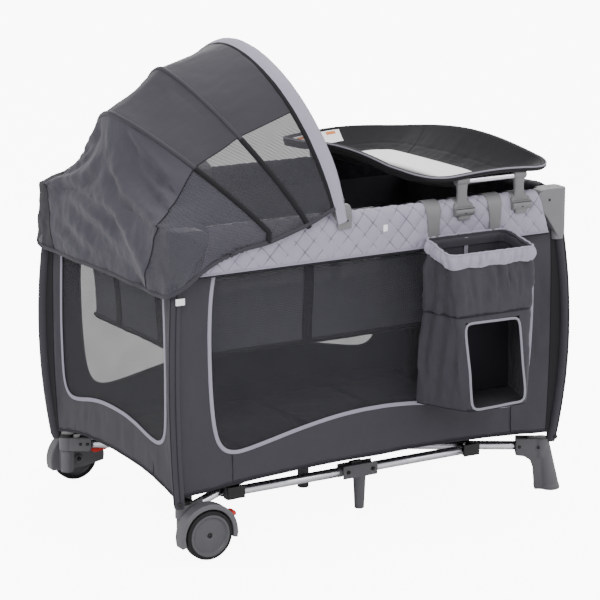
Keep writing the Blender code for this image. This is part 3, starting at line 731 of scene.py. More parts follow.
END_WALL = SimpleNamespace(
    long=False,
    window=[(0.256, 0.668), (0.259, 0.640), (0.264, 0.580), (0.268, 0.500), (0.270, 0.430),
            (0.269, 0.370), (0.267, 0.320), (0.262, 0.284), (0.250, 0.262), (0.230, 0.2515),
            (0.205, 0.2505), (0.170, 0.256), (0.120, 0.267), (0.070, 0.2745), (0.030, 0.277),
            (0.0, 0.2775)],
    window_corner=(0.250, 0.262),
    hem=[(0.0, 0.178), (0.07, 0.1765), (0.13, 0.174), (0.19, 0.168), (0.25, 0.157),
         (0.30, 0.146), (0.35, 0.140)],
    profile=[(0.4860, 0.688), (0.4865, 0.705), (0.4875, 0.722), (0.4900, 0.737),
             (0.4960, 0.7475), (0.5040, 0.7515), (0.5130, 0.7515), (0.5210, 0.7470),
             (0.5262, 0.7380), (0.5285, 0.7240), (0.5290, 0.7050), (0.5280, 0.6800),
             (0.5260, 0.6530)],
    edge=0.300, bend=0.255, plane=0.5150, flare=0.0015, waves=((4.0, 5.0), (6.0, 9.0)),
    floor_edge=(0.300, 0.4672), seam=0.205, hem_ends=(0.322, 0.320),
    fold_axis=(0, 1, 0), fold_anchor=0.327, fold_keep=0.39,
    rail="end_rail_", rail_out=0.508, rail_span=(POST_Y - 0.032, 0.110 * DIAG_Y - 0.032),
    cover="end_rail_cover_", cover_rows=60, cover_end=(0.268, 0.030), cover_out=0.5268)
WALLS = (LONG_WALL, END_WALL)
for wall in WALLS:
    wall.curve = spline(wall.profile, 61)
    wall.run = lengths_along(wall.curve)
    wall.normals = []
    for j in range(61):
        step = wall.curve[min(60, j + 1)] - wall.curve[max(0, j - 1)]
        wall.normals.append(Vector((-step.y, step.x)).normalized())


def sleeve_centre(z):
    """Centre line of the bowed corner sleeve, as |x|, |y|."""
    t = (z - 0.13) / 0.51

    def bowed(low, middle, high):
        return low + (high - low) * t + 4 * (middle - (low + high) / 2) * t * (1 - t)

    return bowed(0.5140, 0.5325, 0.5185), bowed(0.3215, 0.3388, 0.327)


# ------------------------------------------------------------------ side panels


def panel_point(corner, wall, along, z, offset=0.0, loose=0.0):
    """Point on a side panel; loose is 1 where the cloth hangs free."""
    sleeve_along, sleeve_out = sleeve_centre(z) if wall.long else sleeve_centre(z)[::-1]
    turn = smooth01((along - wall.bend) / (sleeve_along - wall.bend))
    (place1, seed1), (place2, seed2) = wall.waves
    wave = fbm(corner.wall_xyz(wall, along, place1, z), 7.0, seed1) * 0.004
    wave += fbm(corner.wall_xyz(wall, along * 2.2, place2, z * 0.8), 16.0, seed2) * 0.0016
    flat = wall.plane + wall.flare * smooth01((0.26 - z) / 0.1)
    return corner.wall_at(wall, along, lerp(flat, sleeve_out, turn) + wave * loose + offset, z)


def half_panel(corner, wall):
    """Cloth, window and bindings of a wall from its middle to one corner."""
    rim_count, edge = 97, wall.edge
    flip = corner.same == wall.long
    normal = corner.normal(wall)
    parts = Parts()

    def hem(along):
        return interp(wall.hem, along)

    def on(along, z, offset=0.0, loose=0.0):
        return panel_point(corner, wall, along, z, offset, loose)

    window = spline(wall.window, rim_count)
    turn = nearest(window, *wall.window_corner)
    outer = []
    for i in range(rim_count):
        if i <= turn:
            outer.append((edge, lerp(PANEL_TOP, hem(edge), i / turn)))
        else:
            along = lerp(edge, 0.0, (i - turn) / (rim_count - 1 - turn))
            outer.append((along, hem(along)))
    if wall.long and not corner.left:
        for p in window:                # the right windows narrow towards the top
            p.x -= 0.024 * smooth01((p.y - 0.53) / 0.11)

    def cloth(i, j):
        t = j / 8
        rim, out = window[i], outer[i]
        return on(lerp(rim.x, out[0], t), lerp(rim.y, out[1], t), loose=sin(pi * t) * 0.9)

    def strip(i, j):
        z = lerp(PANEL_TOP, hem(edge), i / 40)
        end = sleeve_centre(z)[0 if wall.long else 1] - 0.006
        z_end = lerp(PANEL_TOP, hem(end), i / 40)
        return on(lerp(edge, end, j / 7), lerp(z, z_end, j / 7))

    parts.sheet(rim_count, 9, cloth, "charcoal", 0.0018, flip=not flip)
    # two diagonally opposite corners have black strips beside the sleeve
    parts.sheet(41, 8, strip, "charcoal" if corner.same else "black", 0.0020, flip=not flip)
    if not corner.same:
        parts.tube([on(edge, lerp(0.66, hem(edge), i / 30), 0.0012) for i in range(31)],
                   "black", 0.0014, count=6)

    # dark cloth turned in from the hem to the edge of the mattress
    reach, inside = wall.floor_edge

    def flange(i, j):
        along = reach * i / 40
        t = j / 5
        outside = on(along, hem(along) + 0.010, -0.0022)
        inner_edge = corner.wall_at(wall, along, inside, 0.1500)
        return outside.lerp(inner_edge, t) - vec(0, 0, 0.004 * sin(pi * t))

    parts.sheet(41, 6, flange, "charcoal_dark", 0.0014, flip=flip)

    def netting(i, j):
        """Just behind the cloth."""
        rim, t = window[i], j / 4
        top = window[0].x * (1 - i / 96)
        return on(lerp(rim.x, top, t), lerp(rim.y, PANEL_TOP, t), -0.0022)

    parts.sheet(rim_count, 5, netting, "net", 0, flip=flip)
    parts.tube([on(p.x, p.y, 0.0010) for p in window], "binding", 0.0016, 0.0048, count=12,
               hint=normal, square=0.7)
    ends = [[lerp(0, end, i / 60) for i in range(61)] for end in wall.hem_ends]
    parts.tube([on(a, hem(a) + 0.001, 0.0004) for a in ends[0]], "charcoal_dark", 0.0021, 0.0036,
               count=10, hint=normal, square=0.8)
    parts.tube([on(a, hem(a) + 0.0068, 0.0007) for a in ends[1]], "charcoal_dark", 0.0006, 0.0007,
               count=6, hint=normal)
    # upright seam in the lower band
    seam = wall.seam
    seam_top = min(p.y for p in window if abs(p.x - seam) < 0.02 and p.y < 0.4) - 0.004
    parts.tube([on(seam + 0.0004 * sin(i), lerp(hem(seam) + 0.006, seam_top, i / 14), 0.0011)
                for i in range(15)], "charcoal_dark", 0.0009, 0.0010, count=6, hint=normal)
    return parts.make("side_panel_" + corner.wall_tag(wall), sharp=50)


for corner in CORNERS:
    for wall in WALLS:
        ob = half_panel(corner, wall)
        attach(ob, "corner_" + corner.tag)
        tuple(wall.fold_axis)
        corner.wall_xyz(wall, *((wall.fold_anchor, 0) if wall.long
                                                 else (wall.fold_anchor, 0)), 0)
        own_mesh(ob)
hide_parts("side_fabric")

# ------------------------------------------------------------------ corner sleeves
SLEEVE_R = 0.0128


def corner_sleeve(corner):
    parts = Parts()
    heights = [0.122 + 0.535 * i / 60 for i in range(61)]

    def centre(z):
        return corner.at(*sleeve_centre(z), z)

    def skin(i, j):
        z = heights[i]
        angle = 2 * pi * j / 28
        across, up = cos(angle), sin(angle)
        grow = 1 + 0.03 * fbm((corner.sign_x * 2 + across, corner.sign_y * 2 + up, z * 9), 1.4)
        if i < 3:
            grow *= (0.90, 0.975, 1.0)[i]
        return centre(z) + vec(across, up, 0) * SLEEVE_R * grow

    verts, faces = grid(61, 28, skin, closed_v=True, flip=True)
    faces.append(tuple(range(28)))
    faces.append(tuple(reversed([60 * 28 + j for j in range(28)])))
    parts.add((verts, faces), "charcoal")
    # sewn ridges where the walls meet the sleeve
    for out in (corner.at(0.22, 0.975, 0), corner.at(0.975, 0.22, 0)):
        parts.tube([centre(z) + out * (SLEEVE_R + 0.0001) for z in heights[1:]],
                   "charcoal_dark", 0.0011, count=6)
    # stud at the foot
    out = corner.at(0.30, 0.954, 0).normalized()
    parts.lathe([(0, 0.0032), (0.0024, 0.0030), (0.0030, 0.0020), (0.0052, 0.0022),
                 (0.0060, 0.0010), (0.0060, -0.003), (0, -0.003)], "blackp", axis=out,
                origin=centre(0.1345) + out * (SLEEVE_R + 0.0002), count=24)
    ob = parts.make("corner_sleeve_" + corner.tag, sharp=60)
    register(ob, "corner_" + corner.tag, "post_" + corner.tag)


for corner in CORNERS:
    corner_sleeve(corner)

# ------------------------------------------------------------------ corner caps
# shields of the cap, as (|x|, z) on the long wall and (|y|, z) on the end wall
LONG_SHIELD = [(0.443, 0.740), (0.447, 0.7465), (0.455, 0.7510), (0.466, 0.7535), (0.490, 0.7540),
               (0.505, 0.7540), (0.516, 0.7535), (0.516, 0.634), (0.511, 0.631), (0.500, 0.643),
               (0.485, 0.666), (0.469, 0.688), (0.454, 0.704), (0.443, 0.720)]
END_SHIELD = [(0.266, 0.740), (0.270, 0.7460), (0.278, 0.7510), (0.288, 0.7535), (0.300, 0.7540),
              (0.315, 0.7540), (0.324, 0.7535), (0.324, 0.634), (0.319, 0.632), (0.310, 0.646),
              (0.298, 0.670), (0.286, 0.690), (0.275, 0.706), (0.266, 0.722)]
for corner in CORNERS:
    signs = corner.sign_y, corner.sign_x
    solids = [prism(LONG_SHIELD, 0.302, 0.3425, xz_plane(*signs)),
              prism(END_SHIELD, 0.492, 0.5335, yz_plane(*signs)),
              cylinder(corner.at(0.5135, 0.3225, 0.628), corner.at(0.5135, 0.3225, 0.7538),
                       0.0198, 40),
              box(corner.at(0.470, 0.29, 0.660), corner.at(0.515, 0.325, 0.7540))]
    ob = moulded("corner_cap_" + corner.tag, solids, "cap", 0.0016, 22)
    register(ob, "corner_" + corner.tag, "corner_bracket_" + corner.tag)
    parts = Parts()
    for wall, along, out in ((LONG_WALL, 0.477, 0.3425), (END_WALL, 0.296, 0.5335)):
        parts.screw(corner.normal(wall), corner.wall_at(wall, along, out, 0.728),
                    crown=0.0012, inner=0.0022, radius=0.0036, depth=0.003)
    register(parts.make("cap_screws_" + corner.tag), "corner_" + corner.tag)

# ------------------------------------------------------------------ rail covers
QUILT_ALONG, QUILT_UP = 0.0450, 0.0480      # pitch of the diamonds
COVER_BOTTOM = 0.6530


def rail_cover(corner, wall):
    """Padding over a half rail; the long ones are quilted in diamonds on the outside."""
    curve, run, normals = wall.curve, wall.run, wall.normals
    total, rows = run[60], wall.cover_rows
    sign_x, sign_y = corner.sign_x, corner.sign_y

    def end_at(z):
        start, slope = wall.cover_end
        return start + slope * (0.752 - z) / 0.1

    def point(i, j):
        p, n = curve[j], normals[j]
        along = end_at(p.y) * i / (rows - 1)
        if wall.long:
            u, up = sign_x * along / QUILT_ALONG, (total - run[j]) / QUILT_UP
            diamond = abs(sin(pi * (u + up))) * abs(sin(pi * (u - up)))
            puff = 0.0034 * diamond ** 0.42 - 0.0008
            puff *= smooth01(min(1.0, (total - run[j]) / 0.010, run[j] / 0.006))
            puff += 0.0010 * fbm((sign_x * along, sign_y, run[j]), 22)
        else:
            puff = (0.0022 * fbm((sign_x * 9, sign_y * along * 1.5, run[j]), 20)
                    + 0.0012 * sin(along * 60) * sin(pi * j / 60))
        puff *= smooth01((i + 1) / 2)
        return corner.wall_at(wall, along, p.x + n.x * puff, p.y + n.y * puff)

    def stitch_line(k, lean):
        """The visible run of one diagonal of the quilting."""
        points = []
        for m in range(121):
            up = (m / 120) * (total - 0.008) + 0.004        # distance up from the bottom edge
            along = (k - lean * up / QUILT_UP) * QUILT_ALONG * sign_x
            down = total - up
            q = 0
            while q < 59 and run[q + 1] < down:
                q += 1
            if 0.0 <= along <= end_at(curve[q].y) - 0.002 and q >= 25:
                p = curve[q].lerp(curve[q + 1], (down - run[q]) / (run[q + 1] - run[q]))
                points.append(corner.at(along, p.x + normals[q].x * 0.0009,
                                        p.y + normals[q].y * 0.0009))
            elif len(points) > 2:
                break
            else:
                points = []
        return points

    def bottom_line(steps, drop, offset):
        length = end_at(COVER_BOTTOM)
        return [corner.wall_at(wall, length * i / steps, wall.cover_out + offset,
                               COVER_BOTTOM - drop) for i in range(steps + 1)]

    parts = Parts()
    flip = corner.same != wall.long
    if wall.long:
        parts.sheet(rows, 26, point, "charcoal_dark", 0.0020, flip=flip)
        parts.sheet(rows, 36, lambda i, j: point(i, j + 25), "lavender", 0.0020, flip=flip)
        for lean in (1, -1):
            for k in range(-14, 16):
                line = stitch_line(k, lean)
                if len(line) > 3:
                    parts.tube(line, "thread", 0.00075, count=5)
        parts.tube(bottom_line(60, 0.0002, 0.0008), "binding", 0.0021)
        parts.tube(bottom_line(60, 0.0045, 0.0003), "charcoal_dark", 0.0019)
    else:
        parts.sheet(rows, 61, point, "charcoal", 0.0020, flip=flip)
        parts.tube(bottom_line(30, 0, 0.0003), "charcoal_dark", 0.0020)
    if wall.long and corner.tag == "front_right":
        sewn_tag = [(0.004, 0.703), (0.015, 0.703), (0.015, 0.718), (0.004, 0.718)]
        parts.add(prism(sewn_tag, 0.3480, 0.3505, xz_plane(-1)), "white")
    tag = corner.wall_tag(wall)
    register(parts.make(wall.cover + tag, sharp=60), wall.rail + tag)


for corner in CORNERS:
    for wall in WALLS:
        rail_cover(corner, wall)

# ------------------------------------------------------------------ tubes and hub
HUB_R = 0.065
FLOOR_TUBE = hypot(POST_X, POST_Y) - HUB_R - 0.045
CLAMP_X = 0.335
CLAMP_Y = CLAMP_X * DIAG_Y / DIAG_X
SIDE_X0, SIDE_X1 = 0.036, CLAMP_X - (HUB_R * DIAG_X - 0.036)
SIDE_Y = CLAMP_Y + 0.031


def bar(node, a, b, radius, mat, bands=()):
    """Round bar with eased ends; bands are (place, width, radius, material)."""
    parts = Parts()
    a, b = Vector(a), Vector(b)
    length = (b - a).length
    axis = (b - a) / length
    ease = 0.0012
    parts.lathe([(0, 0), (radius - ease, 0), (radius, ease), (radius, length - ease),
                 (radius - ease, length), (0, length)], mat, axis, a, 32)
    for at, width, outer, band_mat in bands:
        low, high, bevel = at - width / 2, at + width / 2, 0.0006
        parts.lathe([(radius - 0.001, low), (outer - bevel, low), (outer, low + bevel),
                     (outer, high - bevel), (outer - bevel, high), (radius - 0.001, high)],
                    band_mat, axis, a, 32)
    register(parts.make("tube_" + node.replace("_tube", ""), sharp=50), node, node)


def finish_cad(node, mat, bevel):
    """Keeps a CAD solid, with a material and softened edges."""
    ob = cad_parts[node]
    dress(ob.data, mat)
    for face in ob.data.polygons:
        face.material_index = 0
    soft = ob.modifiers.new("soft", "BEVEL")
    soft.width, soft.segments = bevel, 2
    soft.limit_method, soft.angle_limit = "ANGLE", radians(35)
    soft.harden_normals = False


for corner in CORNERS:
    for wall in WALLS:
        start, end = (corner.wall_at(wall, along, wall.rail_out, RAIL_Z)
                      for along in wall.rail_span)
        bar(wall.rail + corner.wall_tag(wall), start, end, 0.0125, "paint")
    lift = vec(0, 0, FLOOR_Z)
    bar("floor_tube_" + corner.tag, corner.out * HUB_R + lift,
        corner.out * (HUB_R + FLOOR_TUBE) + lift, 0.011, "silver")
    bar("side_tube_" + corner.tag, corner.at(SIDE_X1, SIDE_Y, FLOOR_Z),
        corner.at(SIDE_X0, SIDE_Y, FLOOR_Z), 0.0115, "silver",
        bands=((0.0045, 0.009, 0.0121, "blackp"),
               (SIDE_X1 - SIDE_X0 - 0.006, 0.012, 0.0122, "grey")))
for side in ("front", "back", "left", "right"):
    finish_cad("rail_lock_" + side, "dark_grey", 0.0015)
finish_cad("floor_hub", "grey", 0.0020)

# collars that grip the floor tubes and carry the side tubes
for corner in CORNERS:
    clamp = "tube_clamp_" + corner.tag
    centre = corner.at(CLAMP_X, CLAMP_Y, FLOOR_Z)
    grip = cylinder(centre - corner.out * 0.014, centre + corner.out * 0.014, 0.0178, 30)
    ob = moulded("collar_" + corner.tag, [cad_solid(clamp), grip], "blackp", 0.0014, 14)
    register(ob, clamp, clamp)
    parts = Parts()
    parts.lathe([(0, 0.0165), (0.003, 0.0163), (0.0042, 0.0155), (0.0042, -0.0155),
                 (0.003, -0.0163), (0, -0.0165)], "chrome",
                origin=corner.at(SIDE_X1, SIDE_Y, FLOOR_Z), count=20)
    register(parts.make("collar_pin_" + corner.tag), clamp)

# ------------------------------------------------------------------ middle feet
for face, sign in FACES:
    foot = "middle_foot_" + face
    verts, faces = cad_solid(foot)
    for p in verts:
        p.x += 0.008
        if p.z < 0.08:
            p.x += 0.006
        p.z = max(p.z, 0.010)
    solids = [(verts, faces),
              box((-0.024, sign * (SIDE_Y - 0.0135), 0.0925),
                  (0.040, sign * (SIDE_Y + 0.0135), 0.1235)),
              cylinder((0.014, sign * SIDE_Y, 0.010), (0.014, sign * SIDE_Y, 0.098),
                       0.0118, 30, 0.0158)]
    ob = moulded("centre_leg_" + face, solids, "grey", 0.0014, 5)
    register(ob, foot, foot)
    parts = Parts()
    for x in (-0.026, 0.042):
        parts.lathe([(0, 0.0180), (0.0020, 0.0180), (0.0026, 0.0170), (0.0036, 0.0186),
                     (0.0046, 0.0176), (0.0046, 0.010), (0, 0.010)], "blackp",
                    axis=(0, sign, 0), origin=(x, sign * SIDE_Y, FLOOR_Z), count=20)
    parts.add(box((-0.012, sign * (SIDE_Y - 0.006), 0.1225),
                  (0.018, sign * (SIDE_Y + 0.006), 0.1300)), "blackp")
    register(parts.make("centre_leg_screws_" + face), foot)


# ------------------------------------------------------------------ fixed feet, right end


def fixed_foot(corner):
    def spot(out, z):
        return corner.post + corner.out * out + vec(0, 0, z)

    body = "corner_" + corner.tag
    solids = [cad_solid("foot_" + corner.tag),
              cylinder(spot(0.002, 0.082), spot(0.002, 0.1295), 0.0205, 36),
              cylinder(spot(0.0240, 0.0), spot(0.0240, 0.010), 0.0262, 36, 0.0250),
              cylinder(spot(0.0235, 0.008), spot(0.006, 0.110), 0.0240, 36, 0.0175)]
    ob = moulded("fixed_foot_" + corner.face, solids, "grey", 0.0016, 14)
    register(ob, body, "foot_" + corner.tag)
    parts = Parts()
    for out, half in ((-0.052, 0.0165), (-0.006, 0.0196)):
        for k in (-1, 1):
            parts.screw(corner.across * k, spot(out, 0.108) + corner.across * k * half,
                        crown=0.0016, inner=0.0028, radius=0.0044, depth=0.004)
    parts.lathe([(0, 0.0), (0.020, 0.0), (0.022, 0.001), (0.022, 0.0035), (0, 0.0035)], "rubber",
                origin=spot(0.0240, -0.0002), count=32)
    register(parts.make("fixed_foot_screws_" + corner.face), body)


# ------------------------------------------------------------------ casters, left end
WHEEL_X, WHEEL_Y, WHEEL_R = -0.455, 0.346, 0.0575
GUARD_IN, GUARD_OUT = 0.0605, 0.0730        # radii of the mudguard rim
# (radius, along the axle outwards)
TYRE = [(0.0470, -0.0128), (0.0530, -0.0130), (0.0562, -0.0112), (0.0574, -0.0070), (0.0575, 0.0),
        (0.0574, 0.0070), (0.0562, 0.0112), (0.0530, 0.0130), (0.0470, 0.0128)]
DISC = [(0.0490, -0.0110), (0.0490, 0.0120), (0.0480, 0.0142), (0.0455, 0.0146), (0.0430, 0.0136),
        (0.0412, 0.0108), (0.0395, 0.0096), (0.0260, 0.0100), (0.0140, 0.0106), (0.0080, 0.0108),
        (0.0066, 0.0100), (0.0058, 0.0080), (0.0050, 0.0070), (0.0040, 0.0066), (0.0040, -0.0080),
        (0.0125, -0.0095), (0.0200, -0.0070), (0.0430, -0.0065)]
HUB_RING = [(0.0036, 0.0060), (0.0052, 0.0066), (0.0050, 0.0098), (0.0042, 0.0104),
            (0.0036, 0.0104)]
AXLE = [(0, -0.0300), (0.0040, -0.0298), (0.0052, -0.0285), (0.0052, -0.024), (0.0034, -0.024),
        (0.0034, 0.0090), (0, 0.0090)]
# (x, z) about the pedal's root
PEDAL_X, PEDAL_Z = WHEEL_X + 0.040, 0.080
PEDAL = [(-0.010, -0.004), (-0.004, -0.008), (0.006, -0.008), (0.016, -0.006), (0.028, -0.005),
         (0.038, 0.000), (0.044, 0.008), (0.043, 0.014), (0.038, 0.015), (0.030, 0.009),
         (0.020, 0.0065), (0.010, 0.009), (-0.002, 0.009), (-0.010, 0.005)]


def guard_arc(radius, angles):
    return [(radius * cos(radians(a)), radius * sin(radians(a))) for a in angles]


def caster(corner):
    face, sign = corner.face, corner.sign_y
    body = "corner_" + corner.tag
    hub = vec(WHEEL_X, sign * WHEEL_Y, WHEEL_R)
    outward = (0, sign, 0)
    # bracket on the post end
    solids = [cad_solid("wheel_bracket_" + face),
              cylinder(corner.post + vec(0, 0, 0.0915), corner.post + vec(0, 0, 0.1260),
                       0.0185, 36)]
    ob = moulded("caster_bracket_" + face, solids, "caster", 0.0014, 5)
    register(ob, body, "wheel_bracket_" + face)
    parts = Parts()
    for out in (-0.053, -0.036):
        for k in (-1, 1):
            spot = corner.post + corner.out * out + vec(0, 0, 0.110) + corner.across * k * 0.0165
            parts.screw(corner.across * k, spot, crown=0.0020, inner=0.0028, radius=0.0042,
                        depth=0.004)
    # plug between post and bracket
    parts.lathe([(0, 0), (0.0165, 0), (0.0175, 0.001), (0.0175, 0.010), (0.0165, 0.011),
                 (0, 0.011)], "blackp", origin=corner.post + vec(0, 0, 0.1225), count=36)
    register(parts.make("caster_screws_" + face), body)
    # mudguard: rounded rim, inboard web and stem
    place = xz_plane(sign, origin=(WHEEL_X, WHEEL_R))
    outer = guard_arc(GUARD_OUT, range(-12, 199, 5))
    inner = guard_arc(GUARD_IN, range(198, -13, -5))
    web = outer + [(-0.034, -0.024), (0.018, -0.024)]
    solids = [prism(web, WHEEL_Y - 0.0195, WHEEL_Y - 0.0150, place),
              prism(outer + inner, WHEEL_Y - 0.0190, WHEEL_Y + 0.0115, place),
              cylinder(corner.at(POST_X, POST_Y, 0.036), corner.at(POST_X, POST_Y, 0.0912),
                       0.0160, 36),
              box(corner.at(POST_X + 0.008, 0.302, 0.040),
                  corner.at(POST_X - 0.020, WHEEL_Y - 0.0165, 0.0885)),
              cylinder((WHEEL_X, sign * (WHEEL_Y - 0.0250), WHEEL_R),
                       (WHEEL_X, sign * (WHEEL_Y - 0.0170), WHEEL_R), 0.0110, 30)]
    ob = moulded("mudguard_body_" + face, solids, "caster", 0.0014, 12)
    register(ob, body, "mudguard_" + face)
    parts = Parts().lathe(AXLE, "blackp", outward, hub, 24)
    register(parts.make("caster_axle_" + face), body)
    # wheel: black tyre on a dished disc
    parts = Parts()
    parts.lathe(TYRE, "rubber", outward, hub, 72)
    parts.lathe(DISC, "disc", outward, hub, 72)
    parts.lathe(HUB_RING, "blackp", outward, hub, 40)
    wheel = "wheel_" + face
    register(parts.make("road_" + wheel, sharp=32), wheel, wheel)
    toe_x, toe_z = PEDAL_X + 0.038, PEDAL_Z + 0.009
    solids = [prism(PEDAL, 0.3065, 0.3255, xz_plane(sign, origin=(PEDAL_X, PEDAL_Z))),
              cylinder((toe_x, sign * 0.3035, toe_z), (toe_x, sign * 0.3285, toe_z), 0.0062, 24)]
    pedal = "brake_pedal_" + face
    ob = moulded("foot_pedal_" + face, solids, "red", 0.0012, 5)
    register(ob, pedal, pedal)


for corner in CORNERS:
    if not corner.left:
        fixed_foot(corner)
for corner in CORNERS:
    if corner.left:
        caster(corner)

# ------------------------------------------------------------------ canopy surface
# A level runs 0..4 over five key rows: front, middle and rear bow, a row round the back, hem.
# "Across" runs -1 (front side of the yard) .. 1 (back side) along each row.
BOW_HALF, BOW_Z = 0.347, 0.734
# x at the foot, x and z at the crown, roundness across and up
BOWS = {
    "canopy_bow_front": (-0.118, -0.206, 1.100, 1.84, 2.10),
    "canopy_bow_middle": (-0.195, -0.374, 1.054, 1.45, 1.5),
    "canopy_bow_rear": (-0.299, -0.502, 0.963, 1.5, 1.45),
}
FRONT_BOW = BOWS["canopy_bow_front"]
ROW_STEPS = 160
HEM_Z = [0.768, 0.738, 0.7095]          # where the side hem crosses each bow
BACK_ROW = [(-0.382, -0.3550, 0.6985), (-0.430, -0.3575, 0.712), (-0.480, -0.3585, 0.735),
            (-0.512, -0.3570, 0.750), (-0.534, -0.3420, 0.759), (-0.541, -0.3150, 0.763),
            (-0.543, -0.2500, 0.767), (-0.543, -0.1200, 0.774), (-0.543, 0, 0.776)]
HEM_ROW = [(-0.398, -0.3545, 0.6930), (-0.432, -0.3560, 0.6815), (-0.466, -0.3575, 0.6640),
           (-0.500, -0.3590, 0.6420), (-0.528, -0.3560, 0.6250), (-0.543, -0.3420, 0.6130),
           (-0.546, -0.3150, 0.6075), (-0.546, -0.2500, 0.6080), (-0.546, -0.1200, 0.6100),
           (-0.546, 0, 0.6110)]
# Folds pulled in the cloth: [(level, share from the middle to the netting)], half width, depth
DRAGS = [
    ([(2.08, 0.22), (2.25, 0.43), (2.40, 0.84)], 0.0150, 0.0075),
    ([(2.30, 0.34), (2.52, 0.56), (2.68, 0.94)], 0.0150, 0.0050),
    ([(2.55, 0.00), (2.83, 0.33), (3.00, 0.92)], 0.0190, 0.0085),
    ([(2.95, -0.30), (3.18, 0.30), (3.52, 0.64), (3.93, 1.00)], 0.0240, 0.0080),
    ([(3.10, -0.70), (3.40, 0.02), (3.80, 0.72)], 0.0230, 0.0060),
    ([(2.86, -0.88), (2.94, -0.50), (3.02, -0.18)], 0.0120, 0.0040),
    ([(3.45, -0.80), (3.76, -0.12)], 0.0200, 0.0035),
]


def bow_point(bow, t, grow=0.0):
    """Point on a bow, t -1..1 from foot to foot."""
    foot_x, top_x, top_z, round_across, round_up = bow
    angle = t * pi / 2
    y = signed_power(sin(angle), 2 / round_across) * (BOW_HALF + grow)
    rise = abs(cos(angle)) ** (2 / round_up)
    swell = 1 + grow / hypot(top_x - foot_x, top_z - BOW_Z)
    return vec(foot_x + (top_x - foot_x) * rise * swell, y,
               BOW_Z + (top_z - BOW_Z) * rise * swell)


def bow_line(bow, grow, steps=600):
    return [bow_point(bow, -1 + 2 * i / steps, grow) for i in range(steps + 1)]


def bow_row(bow, hem_z):
    points = bow_line(bow, 0.0085)
    if hem_z > BOW_Z:
        points = [p for p in points if p.z >= hem_z]
    else:
        shift = 0.10 * (BOW_Z - hem_z)
        feet = [vec(p.x - shift, p.y, hem_z) for p in (points[0], points[-1])]
        points = [feet[0]] + points + [feet[1]]
    return even(points, ROW_STEPS)


def mirrored_row(half):
    """Row from the half on the front side of the yard."""
    points = [Vector(p) for p in half]
    points += [vec(p.x, -p.y, p.z) for p in reversed(points[:-1])]
    return even(spline(points, 400), ROW_STEPS)


def cut_share(row, beyond):
    """Share 0..1 from the middle at which the cloth gives way to netting."""
    half = ROW_STEPS // 2
    for i in range(half, -1, -1):
        if beyond(row[i]):
            return (half - i) / half
    return 1.0


KEYS = [bow_row(bow, z) for bow, z in zip(BOWS.values(), HEM_Z)]
KEYS += [mirrored_row(BACK_ROW), mirrored_row(HEM_ROW)]
CUTS = [cut_share(KEYS[0], lambda p: p.z < 0.989), cut_share(KEYS[1], lambda p: p.z < 0.930),
        cut_share(KEYS[2], lambda p: p.z < 0.872), cut_share(KEYS[3], lambda p: abs(p.y) > 0.285),
        cut_share(KEYS[4], lambda p: abs(p.y) > 0.235)]


def key_of(level):
    """Key row before a level, and the share of the way to the next."""
    level = max(0.0, min(3.9999, level))
    return int(level), level - int(level)


def cut_at(level):
    i, t = key_of(level)
    return lerp(CUTS[i], CUTS[i + 1], t)


def taut_at(level, across):
    """The cover without sag or folds."""
    i, t = key_of(level)
    place = (across + 1) / 2 * ROW_STEPS
    j = min(ROW_STEPS - 1, int(place))
    before, after = (row[j].lerp(row[j + 1], place - j) for row in KEYS[i:i + 2])
    return before.lerp(after, t)


def drag_height(level, share, line, width, depth):
    best, turn, along = 1e9, 0.0, 0.0
    for m, ((level0, share0), (level1, share1)) in enumerate(zip(line, line[1:])):
        # levels and shares scaled to rough lengths on the cloth
        dx, dy = (level1 - level0) * 0.20, (share1 - share0) * 0.30
        qx, qy = (level - level0) * 0.20, (share - share0) * 0.30
        t = max(0.0, min(1.0, (qx * dx + qy * dy) / (dx * dx + dy * dy)))
        distance = hypot(qx - dx * t, qy - dy * t)
        if distance < best:
            best, turn, along = distance, dx * qy - dy * qx, (m + t) / (len(line) - 1)
    if best >= 4 * width:
        return 0.0
    ratio = copysign(best, turn) / width
    return (depth * ratio * exp(0.5 - 0.5 * ratio * ratio) * smooth01(along / 0.30)
            * (0.35 + 0.65 * smooth01((1.02 - along) / 0.12)))


